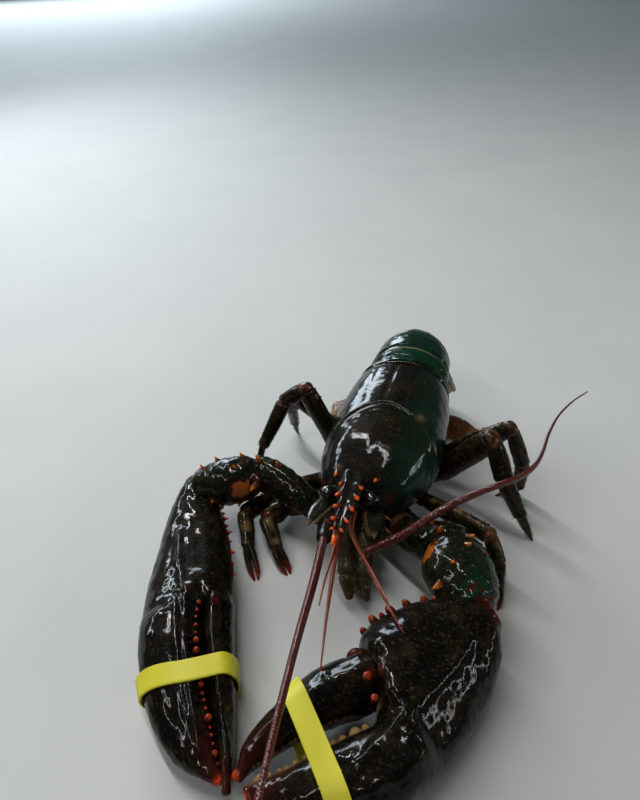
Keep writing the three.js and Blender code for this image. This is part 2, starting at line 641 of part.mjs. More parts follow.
function sideBlades(ring, number, grow = 0) {
  const reach = [0, 9, 15, 15, 14, 12, 7][number];
  const middle = (ring.from + ring.to) / 2;
  const { n, forward } = ring.frame(middle);
  const long = ring.frame(ring.from).centre.distanceTo(ring.frame(ring.to).centre);
  return [-20, 200].map((degrees) => {
    const foot = ring.point(middle, rad(degrees));
    const away = ring.outward(middle, rad(degrees));
    const down = n.clone().negate().addScaledVector(away, 0.42).normalize();
    const rows = PLATE_ROWS.map(([f, half, back, thick]) => {
      const spot = foot.clone().addScaledVector(away, -1.6).addScaledVector(down, reach * f)
        .addScaledVector(forward, long * back);
      return [spot.x, spot.y, spot.z, half * long, thick];
    });
    return new Loft(rows, { sides: 6, steps: 1, side: forward, nose: [0.1, 0.8] }).solid(grow);
  });
}

function swimmerets(ring, number) {
  if (number < 2 || number > 5) {
    return [];
  }
  const { centre, s, n, forward, row } = ring.frame((ring.from + ring.to) / 2);
  return [-1, 1].map((side) => {
    const root = centre.clone().addScaledVector(n, -row[5] + 1).addScaledVector(s, side * 14);
    const lie = n.clone().multiplyScalar(-0.8).addScaledVector(forward, -0.5).addScaledVector(s, side * 0.2).normalize();
    return thorn(root, lie, 9, 3.6, 5, 0.35);
  });
}

const FAN_MIDDLE = -1.6;
const telson = new Loft([
  [FAN_MIDDLE, 66.5, 6.4, 11, 3.2], [FAN_MIDDLE, 58, 3.9, 12, 2.2], [FAN_MIDDLE, 47, 2, 11.5, 1.7], [FAN_MIDDLE, 38, 1.2, 8.5, 1.3],
], { sides: 14, steps: 2, square: 2.4, nose: [0.3, 1.5] });

function paddle(rows) {
  return new Loft(rows, { sides: 10, steps: 1.6, square: 2.1, nose: [0.5, 1.6], up: Z });
}

const INNER_FAN = [[10.6, 71.5, 6, 3.2, 2.4], [18.6, 65, 4.6, 8, 2], [27.6, 57, 2.6, 10.5, 1.7], [35.6, 49, 1.2, 7, 1.3]];
const OUTER_FAN = [[13.6, 79.5, 7.2, 3.4, 2.6], [25.6, 80.5, 6, 9, 2.2], [39.6, 80, 3.6, 12.5, 1.9], [52.6, 76.5, 1.4, 9.5, 1.4]];
const FAN_ROWS = {};
for (const [side, sign] of [['left', 1], ['right', -1]]) {
  const placed = (rows) => rows.map(([x, ...rest]) => [FAN_MIDDLE + sign * x, ...rest]);
  FAN_ROWS[`inner_${side}`] = placed(INNER_FAN);
  FAN_ROWS[`outer_${side}`] = placed(OUTER_FAN);
}

// Assembly: what lies deeper is built first, and each next piece is cut clear of it

function buildTrunk() {
  const whole = carapace.solid().add(rostrum.solid());
  const grown = carapace.solid(GAP);
  const rear = grooveCut(GAP / 2);
  const front = grooveCut(-GAP / 2);
  const head = fuse([whole, ...rostralSpines(), ...browSpines()]).subtract(front);
  const thorax = carapace.solid().intersect(rear);
  piece('trunk', 'head', head, SHELL, [1, -40, 45]);
  piece('trunk', 'thorax', thorax, SHELL, [LEAN, 25, 45]);
  piece('trunk', 'sternum', sternum.solid().subtract(grown), LEG_SHELL, [LEAN, 0, 17]);
  return fuse([grown, rostrum.solid(GAP), sternum.solid(GAP)]);
}

function buildFace(trunk) {
  const taken = [trunk];
  const cutClear = (solid) => solid.subtract(fuse(taken));
  for (const side of ['left', 'right']) {
    const eye = EYES[side];
    piece('face', `eye_${side}`, cutClear(eyeSolid(eye)), EYE, eye.eye);
    const guard = new THREE.SphereGeometry(EYE_RADIUS + GAP + 0.1, 12, 8);
    guard.translate(eye.eye[0], eye.eye[1], eye.eye[2]);
    taken.push(solidOf(guard));
  }
  for (const side of ['left', 'right']) {
    const base = new Loft(FEELER_BASES[side], { sides: 7, steps: 1.5, nose: [0.3, 0.3] });
    const scale = new Loft(SCALES[side], { sides: 8, steps: 1.4, nose: [0.5, 2] });
    const stem = base.point(0.9, rad(90)).lerp(scale.frame(0.3).centre, 0.5);
    const web = new Loft([[...base.frame(0.9).centre.toArray(), 2.4, 2.4], [...stem.toArray(), 2.2, 2.2],
      [...scale.frame(0.3).centre.toArray(), 1.2, 1.2]], { sides: 6, steps: 1, up: X, nose: [0.3, 0.3] });
    const outer = side === 'left' ? 12 : 168;
    const spikes = [thornOn(base, 1.0, outer, 6, 1.6, 1.6), thornOn(base, 2.0, outer, 4, 1.2, 1.6)];
    const solid = cutClear(fuse([base.solid(), scale.solid(), web.solid(), ...spikes]));
    piece('face', `feeler_base_${side}`, solid, SHELL, FEELER_BASES[side][0]);
    taken.push(base.solid(GAP), scale.solid(GAP), web.solid(GAP));
  }
  for (const side of ['left', 'right']) {
    const near = whip(side, 0, 5.5).solid().subtract(fuse(taken));
    const far = whip(side, 5.5 + GAP / 20, WHIPS[side].length - 1).solid();
    piece('face', `feeler_${side}_near`, near, FEELER, WHIPS[side][0]);
    piece('face', `feeler_${side}_far`, far, FEELER, WHIPS[side][6]);
    piece('face', `antennule_${side}`, cutClear(strands(side)), FEELER, ANTENNULES[side][0][0]);
  }
  for (const side of ['left', 'right']) {
    const jaw = new Loft(JAW_LEGS[side], { sides: 8, steps: 1.5, nose: [0.4, 0.8] });
    piece('face', `jaw_leg_${side}`, cutClear(jaw.solid()), MOUTH, JAW_LEGS[side][0]);
    taken.push(jaw.solid(GAP));
  }
  return fuse(taken);
}

function buildPincherArm(taken) {
  const palmZone = beyondBite(pincher, PINCHER_BITE, -GAP / 2, 88, 13);
  const fingerZone = beyondBite(pincher, PINCHER_BITE, GAP / 2, 88, 13);
  const whole = pincher.whole.solid();
  const teeth = biteTeeth(pincher, PINCHER_BITE, 104, 169, 13, 1.6, (s) => 25 - (s - 104) * 0.19, -3.4);
  const spikes = edgeSpines(pincher, [
    [20, 11, 20, 3.4, 1.8], [29, 12.8, 20, 3, 1.6], [40, 14, 19.5, 3.6, 1.8], [55, 14.4, 19, 3, 1.6],
  ]);
  const joints = knuckles(pincher, [[83, -8, 27, 2.6], [86, 4, 27.5, 2.2]]);
  const palm = fuse([whole.subtract(palmZone), ...teeth, ...joints, ...spikes]);
  const finger = whole.intersect(fingerZone).subtract(fuse([...teeth, ...joints].map((b) => b)));
  const hip = PINCHER_HIP.solid().subtract(taken);
  const upper = fuse([PINCHER_UPPER.solid(), ...thorns(PINCHER_UPPER, PINCHER_UPPER_SPINES)])
    .subtract(fuse([taken, PINCHER_HIP.solid(GAP)]));
  const wrist = fuse([PINCHER_WRIST_JOINT.solid(), ...thorns(PINCHER_WRIST_JOINT, PINCHER_WRIST_SPINES)])
    .subtract(fuse([PINCHER_UPPER.solid(GAP), pincher.whole.solid(GAP), upper]));
  piece('pincher_arm', 'pincher_hip', hip, LEG_SHELL, [-6, -34, 18]);
  piece('pincher_arm', 'pincher_upper_arm', upper, SHELL, [-22, -50, 24]);
  piece('pincher_arm', 'pincher_wrist', wrist, SHELL, [-62, -41, 34]);
  piece('pincher_arm', 'pincher_palm', palm, SHELL, [...PINCHER_WRIST, 25]);
  piece('pincher_arm', 'pincher_finger', finger, SHELL, [-50, -135, 14]);
  piece('pincher_arm', 'band_pincher', bandRound(pincher, 127, 0, 4, 15), BAND, [-40, -165, 13]);
}

function buildCrusherArm(taken) {
  const palmZone = beyondBite(crusher, CRUSHER_FIXED_BITE, -GAP / 2, 68, 18);
  const fingerZone = beyondBite(crusher, CRUSHER_MOVING_BITE, GAP / 2, 68, 18);
  const whole = crusher.whole.solid();
  const fixedTeeth = biteTeeth(crusher, CRUSHER_FIXED_BITE, 80, 126, 8, 2.7, (s) => 24 - (s - 84) * 0.16, -0.6);
  const movingTeeth = biteTeeth(crusher, CRUSHER_MOVING_BITE, 90, 124, 5, 2.2, (s) => 23 - (s - 84) * 0.16, 1.2);
  const spikes = edgeSpines(crusher, [
    [18, 18, 31, 3.4, 2], [27, 21.5, 31, 3.6, 2], [36, 22.8, 31, 4, 2.1], [46, 23, 31, 4, 2.1],
  ]);
  const joints = knuckles(crusher, [[63, -9, 41.5, 3], [66, 1, 38.5, 3], [60, 17, 28, 4.2]]);
  const palm = fuse([whole.subtract(palmZone), ...fixedTeeth, ...joints, ...spikes]);
  const finger = fuse([whole.intersect(fingerZone), ...movingTeeth]).subtract(fuse([...fixedTeeth, ...joints]));
  const hip = CRUSHER_HIP.solid().subtract(taken);
  const upper = fuse([CRUSHER_UPPER.solid(), ...thorns(CRUSHER_UPPER, CRUSHER_UPPER_SPINES)])
    .subtract(fuse([taken, CRUSHER_HIP.solid(GAP)]));
  const wrist = fuse([CRUSHER_WRIST_JOINT.solid(), ...thorns(CRUSHER_WRIST_JOINT, CRUSHER_WRIST_SPINES)])
    .subtract(fuse([CRUSHER_UPPER.solid(GAP), crusher.whole.solid(GAP), upper]));
  piece('crusher_arm', 'crusher_hip', hip, LEG_SHELL, [15, -34, 18]);
  piece('crusher_arm', 'crusher_upper_arm', upper, SHELL, [31, -50, 25]);
  piece('crusher_arm', 'crusher_wrist', wrist, SHELL, [60, -61, 37]);
  piece('crusher_arm', 'crusher_palm', palm, SHELL, [...CRUSHER_WRIST, 31]);
  piece('crusher_arm', 'crusher_finger', finger, SHELL, [38, -150, 20]);
  piece('crusher_arm', 'band_crusher', bandRound(crusher, 99.5, -14, 0, 19), BAND, [20, -170, 18]);
}

// A closed ring round both fingers, skew across the claw and bowed toward the tips
function bandRound(claw, s, skew, bow, z) {
  const half = BAND_WIDTH / 2;
  const edge = (shift) => [[s + shift - skew, -90], [s + shift + bow, -12], [s + shift + skew, 90]];
  const strip = claw.prism([...edge(half), ...edge(-half).reverse()], z);
  const inside = claw.whole.solid(BAND_CLEARANCE);
  return claw.whole.solid(BAND_CLEARANCE + BAND_THICKNESS).subtract(inside).intersect(strip);
}

function buildLegs(taken) {
  let used = taken;
  for (const [name, plan] of Object.entries(LEG_ROWS)) {
    const upper = upperLeg(plan);
    const lower = lowerLeg(plan);
    const toes = plan.pincer ? [toe(plan, 1.6), toe(plan, -1.6)] : [toe(plan, 0)];
    piece('legs', `leg_${name}_upper`, upper.solid().subtract(used), LEG_SHELL, plan.hip);
    const foot = fuse([lower.solid(), ...toes.map((t) => t.solid())]).subtract(upper.solid(GAP));
    piece('legs', `leg_${name}_lower`, foot, LEG_SHELL, plan.knee);
    used = used.add(upper.solid(GAP));
  }
}

function buildTail(trunk) {
  let used = trunk;
  for (let number = 1; number <= 6; number += 1) {
    const ring = tailRing(number);
    const solid = fuse([ring.solid(), ...sideBlades(ring, number), ...swimmerets(ring, number)]);
    const kept = piece('tail', `tail_ring_${number}`, solid.subtract(used), TAIL_SHELL,
      ring.frame(ring.from).centre.toArray());
    used = fuse([used, ring.solid(GAP), ...sideBlades(ring, number, GAP), kept]);
  }
  piece('tail', 'telson', telson.solid().subtract(used), FAN, [-1.6, 66, 6.8]);
  used = used.add(telson.solid(GAP));
  for (const [name, rows] of Object.entries(FAN_ROWS)) {
    const blade = paddle(rows);
    piece('tail', `fan_${name}`, blade.solid().subtract(used), FAN, rows[0]);
    used = used.add(blade.solid(GAP));
  }
}

const trunk = buildTrunk();
const face = buildFace(trunk);
buildPincherArm(face);
buildCrusherArm(face);
buildLegs(fuse([trunk, PINCHER_HIP.solid(GAP), CRUSHER_HIP.solid(GAP)]));
buildTail(trunk);
lobster.position.set(-MIDDLE_X, -MIDDLE_Y, 0);

export default lobster;
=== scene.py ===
# %% [markdown]
# # An American lobster at rest
# A hard shell animal is a row of hinged plates and tubes. Each one is a smooth body whose
# section changes slowly along its length, with grooves, lumps, spines and bristles on it.
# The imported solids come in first: they fix every size and place, and the pieces below dress them.

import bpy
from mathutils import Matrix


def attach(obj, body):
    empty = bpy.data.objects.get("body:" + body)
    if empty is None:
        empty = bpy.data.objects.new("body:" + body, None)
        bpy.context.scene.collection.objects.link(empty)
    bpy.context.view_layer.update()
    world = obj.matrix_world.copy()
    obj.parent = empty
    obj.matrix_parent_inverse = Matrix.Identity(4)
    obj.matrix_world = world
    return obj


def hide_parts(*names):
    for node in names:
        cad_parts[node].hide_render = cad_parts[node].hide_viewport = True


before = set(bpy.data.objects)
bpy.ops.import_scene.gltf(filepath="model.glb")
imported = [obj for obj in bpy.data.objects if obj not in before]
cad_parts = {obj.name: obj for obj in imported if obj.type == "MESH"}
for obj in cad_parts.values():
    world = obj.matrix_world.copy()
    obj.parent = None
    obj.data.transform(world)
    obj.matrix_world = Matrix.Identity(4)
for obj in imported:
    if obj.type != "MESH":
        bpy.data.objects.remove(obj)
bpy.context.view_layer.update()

# %% Units and the working frame
import math

import bpy
import numpy as np
from mathutils import Matrix

MM = 0.001
MIDDLE = np.array([9.1, -94.5, 0.0])     # middle of the whole animal, in the drawing frame
FLOOR_GAP = 0.02                         # nothing goes lower than this, in mm
UP = np.array([0.0, 0.0, 1.0])
HEADWARD = np.array([0.0, -1.0, 0.0])
LEAN = 5.0
BODY_ROLL = math.radians(8)


def metres(points):
    """Turns millimetres of the drawing frame into metres of the part."""
    moved = (np.asarray(points, float) - MIDDLE) * MM
    moved[..., 2] = np.maximum(moved[..., 2], FLOOR_GAP * MM)
    return moved


def unit(vectors):
    """Vectors of length one."""
    length = np.linalg.norm(vectors, axis=-1, keepdims=True)
    return vectors / np.maximum(length, 1e-12)


print("drawing frame:", MIDDLE, "mm from the part's origin")

# %% [markdown]
# ## A body from a table of ovals
# A shell segment could be cut from a block, or grown from a circle by extruding it again and
# again. Here a table gives an oval every few millimetres, and a smooth curve runs through each
# column of it, so a limb has no corners between its rows and its size can be read off the table.

# %% Smooth curves through rows
def through(rows, t):
    """Reads a table as smooth curves at the places t, counted in rows."""
    rows = np.asarray(rows, float)
    last = len(rows) - 1
    padded = np.vstack([2 * rows[0] - rows[1], rows, 2 * rows[-1] - rows[-2]])
    t = np.clip(t, 0, last)
    i = np.minimum(np.floor(t).astype(int), last - 1)
    f = (t - i)[:, None]
    a, b, c, d = padded[i], padded[i + 1], padded[i + 2], padded[i + 3]
    return 0.5 * (2 * b + (c - a) * f + (2 * a - 5 * b + 4 * c - d) * f**2
                  + (3 * b - a - 3 * c + d) * f**3)


class Form:
    """A body of oval rows: x, y, z, half width, height, and depth and roll if they are given."""

    def __init__(self, rows, up=UP, side=None, axis=None, square=2.0, ends=(0.5, 0.5), span=None):
        self.rows = np.array([
            [*r[:5], r[5] if len(r) > 5 else r[4], r[6] if len(r) > 6 else 0.0] for r in rows
        ])
        self.up = np.asarray(up, float)
        self.side = None if side is None else np.asarray(side, float)
        self.axis = None if axis is None else np.asarray(axis, float)
        self.power = 2 / square
        self.ends = ends
        self.span = span or (0.0, len(rows) - 1.0)

    def frames(self, t):
        """Centre rows, and the forward, sideways and outward directions at each t."""
        t = np.atleast_1d(np.asarray(t, float))
        row = through(self.rows, t)
        if self.axis is None:
            ahead = through(self.rows, t + 0.02)[:, :3] - through(self.rows, t - 0.02)[:, :3]
        else:
            ahead = np.tile(self.axis, (len(t), 1))
        forward = unit(ahead)
        if self.side is None:
            across = unit(np.cross(self.up, forward))
        else:
            across = unit(self.side - (forward @ self.side)[:, None] * forward)
        above = np.cross(forward, across)
        c = np.cos(row[:, 6])[:, None]
        s = np.sin(row[:, 6])[:, None]
        return row, forward, across * c + above * s, above * c - across * s

    def rings(self, t, angle, scale=None, push=None, grow=0.0):
        """Points of the rings at t, one for each angle."""
        row, forward, across, above = self.frames(t)
        scale = np.ones(len(row)) if scale is None else scale
        push = np.zeros(len(row)) if push is None else push
        c = np.cos(angle)
        s = np.sin(angle)
        wide = (row[:, 3:4] + grow) * np.sign(c) * np.abs(c) ** self.power
        high = (np.where(s > 0, row[:, 4:5], row[:, 5:6]) + grow) * np.sign(s) * np.abs(s) ** self.power
        flat = across[:, None] * wide[..., None] + above[:, None] * high[..., None]
        return row[:, None, :3] + forward[:, None] * push[:, None, None] + flat * scale[:, None, None]

    def place(self, t, degrees):
        """A point on the surface and the direction out of it."""
        angle = np.array([math.radians(degrees)])
        row, forward, across, above = self.frames(t)
        point = self.rings(t, angle)[0, 0]
        flat = across[0] * math.cos(angle[0]) + above[0] * math.sin(angle[0])
        return point, unit(unit(point - row[0, :3]) + flat), forward[0]

    def stations(self, count, cap, even):
        """Where the rings stand, with the shrinking rings that close both ends."""
        first, last = self.span
        t = np.linspace(first, last, count)
        if even:
            fine = np.linspace(first, last, 600)
            steps = np.linalg.norm(np.diff(through(self.rows, fine)[:, :3], axis=0), axis=1)
            run = np.concatenate([[0], np.cumsum(steps)])
            t = np.interp(np.linspace(0, run[-1], count), run, fine)
        turn = np.linspace(0, math.pi / 2, cap + 1)[1:]
        parts = []
        for where, nose, sign in [(first, self.ends[0], -1), (last, self.ends[1], 1)]:
            reach = nose * through(self.rows, np.array([where]))[0, 3:6].min()
            parts.append((np.full(cap, where), np.cos(turn), sign * reach * np.sin(turn)))
        start, end = parts
        t = np.concatenate([start[0][::-1], t, end[0]])
        scale = np.concatenate([start[1][::-1], np.ones(count), end[1]])
        push = np.concatenate([start[2][::-1], np.zeros(count), end[2]])
        scale[[0, -1]] = 0.0
        return t, scale, push


print("a form reads its table at any place between the rows")

# %% [markdown]
# ## Rolling a sheet round the form
# A grid is the plainest sheet in Blender. Rolled round the form, with its long edges merged and
# its ends drawn to points, it becomes a closed body, and it keeps the grid's UV map, so a pattern
# can follow the limb. Lumps and grooves are then pushed out or in along the surface, as a
# sculptor would do it, and each place gets its paint: how orange, how pale and how far under it is.

# %% Roll, sculpt and paint
def outward(place, centre):
    """Directions out of a rolled grid of points."""
    around = np.roll(place, -1, axis=1) - np.roll(place, 1, axis=1)
    along = np.gradient(place, axis=0)
    normal = unit(np.cross(around, along))
    away = unit(place - centre[:, None])
    facing = np.sign((normal * away).sum(-1).sum())
    degenerate = np.linalg.norm(around, axis=-1, keepdims=True) < 1e-6
    return np.where(degenerate, away, normal * facing)


def write_paint(mesh, values):
    """Stores how orange, how pale and how far under each vertex is."""
    store = mesh.color_attributes.new("paint", "FLOAT_COLOR", "POINT")
    colours = np.ones((len(mesh.vertices), 4))
    colours[:, :3] = np.clip(values, 0, 1)
    store.data.foreach_set("color", colours.ravel())


def tidy(piece):
    """Merges the seam and the poles, and turns every face outwards."""
    bpy.ops.object.mode_set(mode="EDIT")
    bpy.ops.mesh.select_all(action="SELECT")
    bpy.ops.mesh.remove_doubles(threshold=1e-7)
    bpy.ops.mesh.normals_make_consistent(inside=False)
    bpy.ops.object.mode_set(mode="OBJECT")
    bpy.ops.object.shade_smooth()


def roll_up(name, place):
    """Rolls a grid round rings of points, and says which ring and angle each vertex has."""
    rows, around = len(place) - 1, place.shape[1]
    bpy.ops.object.select_all(action="DESELECT")
    bpy.ops.mesh.primitive_grid_add(x_subdivisions=around, y_subdivisions=rows, size=1)
    piece = bpy.context.object
    piece.name = name
    piece.data.name = name
    flat = np.empty(len(piece.data.vertices) * 3)
    piece.data.vertices.foreach_get("co", flat)
    flat = flat.reshape(-1, 3) + 0.5
    column = np.rint(flat[:, 0] * around).astype(int) % around
    row = np.rint(flat[:, 1] * rows).astype(int)
    piece.data.vertices.foreach_set("co", metres(place[row, column]).ravel())
    return piece, row, column


def rolled(name, form, around=32, along=32, cap=5, even=False, sculpt=None, paint=None):
    """A grid rolled round a form, sculpted and painted."""
    t, scale, push = form.stations(along, cap, even)
    angle = 2 * math.pi * np.arange(around) / around
    place = form.rings(t, angle, scale, push)
    centre = through(form.rows, t)[:, :3]
    out = outward(place, centre)
    if sculpt is not None:
        place = place + out * sculpt(place, out, t, angle)[..., None]
        out = outward(place, centre)
    tint = np.zeros(place.shape)
    tint[..., 2] = np.clip(-1.3 * out[..., 2] - 0.1, 0, 1)
    if paint is not None:
        tint[..., 0], tint[..., 1] = paint(place, out, t, angle)
    piece, row, column = roll_up(name, place)
    write_paint(piece.data, tint[row, column])
    tidy(piece)
    return piece


# %% The sculptor's strokes
def hill(place, spot, radius):
    """A round swelling of height one."""
    away = ((place - np.asarray(spot, float)) ** 2).sum(-1)
    return np.exp(-away / radius**2)


def stroke(place, path, width, flat=False):
    """A ridge of height one along a path of points."""
    path = np.asarray(path, float)
    axes = 2 if flat else path.shape[1]
    nearest = np.full(place.shape[:-1], 1e9)
    for a, b in zip(path[:-1, :axes], path[1:, :axes]):
        run = b - a
        f = np.clip(((place[..., :axes] - a) @ run) / (run @ run), 0, 1)
        gap = ((place[..., :axes] - a - f[..., None] * run) ** 2).sum(-1)
        nearest = np.minimum(nearest, gap)
    return np.exp(-nearest / width**2)


def ripple(place, size, seed):
    """Gentle unevenness with waves of about one size."""
    draw = np.random.default_rng(seed)
    total = np.zeros(place.shape[:-1])
    for _ in range(14):
        way = unit(draw.normal(size=3)) * draw.uniform(0.7, 1.5)
        total += np.sin(place @ way * (2 * math.pi / size) + draw.uniform(0, 6.3))
    return total / 5


def mix(a, b, f):
    """The point at f of the way from a to b."""
    return np.asarray(a, float) + (np.asarray(b, float) - np.asarray(a, float)) * f


def step(value, low, high):
    """Rises smoothly from nought at low to one at high."""
    f = np.clip((value - low) / (high - low), 0, 1)
    return f * f * (3 - 2 * f)


# %% [markdown]
# ## Thorns, teeth and bristles
# These repeat hundreds of times, so each is modelled once: a circle extruded upward and scaled
# at each step, its tip merged to a point. Copies are then stood on the shell, roots sunk in.

# %% One thorn, one tooth, one bristle
def grown(name, sides, profile):
    """Extrudes a circle up through (height, radius) steps and closes the tip."""
    bpy.ops.object.select_all(action="DESELECT")
    bpy.ops.mesh.primitive_circle_add(vertices=sides, radius=profile[0][1],
                                      location=(0, 0, profile[0][0]))
    piece = bpy.context.object
    piece.name = name
    bpy.ops.object.transform_apply(location=True, rotation=True, scale=True)
    bpy.ops.object.mode_set(mode="EDIT")
    bpy.ops.mesh.select_all(action="SELECT")
    for (low, wide), (high, narrow) in zip(profile, profile[1:]):
        bpy.ops.mesh.extrude_edges_move(TRANSFORM_OT_translate={"value": (0, 0, high - low)})
        size = narrow / wide
        bpy.ops.transform.resize(value=(size, size, 1), center_override=(0, 0, high))
    bpy.ops.mesh.merge(type="CENTER")
    bpy.ops.object.mode_set(mode="OBJECT")
    points = np.array([v.co[:] for v in piece.data.vertices])
    faces = [tuple(p.vertices) for p in piece.data.polygons]
    bpy.data.objects.remove(piece)
    middle = points.mean(0)
    a, b, c = points[faces[0][0]], points[faces[0][1]], points[faces[0][2]]
    if np.cross(b - a, c - a) @ (a - middle) < 0:
        faces = [f[::-1] for f in faces]
    print(name, "has", len(faces), "faces")
    return points, faces


THORN = grown("thorn", 10,
              [(-0.35, 1.3), (0.0, 1.0), (0.14, 0.8), (0.34, 0.6), (0.6, 0.4), (0.85, 0.2), (1.0, 0.06)])
TOOTH = grown("tooth", 10,
              [(-0.6, 1.0), (0.0, 1.0), (0.35, 0.93), (0.65, 0.74), (0.88, 0.45), (1.0, 0.15)])
BRISTLE = grown("bristle", 3, [(-0.1, 1.0), (0.5, 0.7), (1.0, 0.1)])


# %% Stand copies on the shell
def stand(name, template, places):
    """Copies of a template: foot, direction, length, radius, orange, pale."""
    shape, faces = template
    corners = []
    loops = []
    tint = []
    for k, (foot, way, length, radius, warm, pale) in enumerate(places):
        way = unit(np.asarray(way, float))
        helper = UP if abs(way[2]) < 0.9 else HEADWARD
        one = unit(np.cross(helper, way))
        two = np.cross(way, one)
        flat = shape[:, :1] * one + shape[:, 1:2] * two
        corners.append(foot + radius * flat + length * shape[:, 2:] * way)
        loops += [tuple(i + k * len(shape) for i in f) for f in faces]
        rise = np.clip(0.6 + 0.6 * shape[:, 2], 0, 1)
        tint.append(np.stack([warm * rise, pale * rise, 0 * rise], 1))
    mesh = bpy.data.meshes.new(name)
    mesh.from_pydata(metres(np.concatenate(corners)).tolist(), [], loops)
    write_paint(mesh, np.concatenate(tint))
    mesh.shade_smooth()
    piece = bpy.data.objects.new(name, mesh)
    bpy.context.scene.collection.objects.link(piece)
    return piece


def joined(name, parts):
    """One object from several."""
    bpy.ops.object.select_all(action="DESELECT")
    for part in parts:
        part.select_set(True)
    bpy.context.view_layer.objects.active = parts[0]
    if len(parts) > 1:
        bpy.ops.object.join()
    piece = bpy.context.view_layer.objects.active
    piece.name = name
    piece.data.name = name
    return piece


def spines_on(form, rows, lean=0.4, warm=0.9, pale=0.0):
    """Places for thorns: t, degrees round the form, length and radius."""
    places = []
    for t, degrees, length, radius in rows:
        foot, way, ahead = form.place(t, degrees)
        places.append((foot, way + lean * ahead, length, radius, warm, pale))
    return places


def dress(piece, material, slot, *nodes):
    """Gives a piece its finish and lets it stand for its solids."""
    piece.data.materials.clear()
    piece.data.materials.append(material)
    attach(piece, "root")
    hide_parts(*nodes)
    print(piece.name, len(piece.data.polygons), "faces, for", ", ".join(nodes))


# %% [markdown]
# ## Wet shell
# The shell is chitin hardened with lime, pigmented in blotches a centimetre or two across and
# freckles of a millimetre or two, pitted every half millimetre or so, and wet. The water film is
# a clear coat, so it is a coat on the shader, and its slight waves break up the reflections.

# %% Colours and nodes
def sight(code):
    """A hex colour as the eye reads it, turned to the linear numbers that light uses."""
    values = [int(code[i:i + 2], 16) / 255 for i in (1, 3, 5)]
    return [v / 12.92 if v <= 0.04045 else ((v + 0.055) / 1.055) ** 2.4 for v in values] + [1.0]


def add(tree, kind, inputs=None, **settings):
    """Adds a node with its settings, and sets or links its inputs."""
    made = tree.nodes.new(kind)
    for key, value in settings.items():
        setattr(made, key, value)
    for key, value in (inputs or {}).items():
        if isinstance(value, bpy.types.NodeSocket):
            tree.links.new(value, made.inputs[key])
        else:
            made.inputs[key].default_value = value
    return made


def blank(name):
    """A new material, its tree and its shader."""
    material = bpy.data.materials.new(name)
    material.use_nodes = True
    tree = material.node_tree
    return material, tree, tree.nodes["Principled BSDF"]


SPECK = 0.6            # sizes in mm, drawn coarse enough to show
FILM_WAVE = 4
SPOT_SPACING = 6.5
PIT_SPACING = 0.9


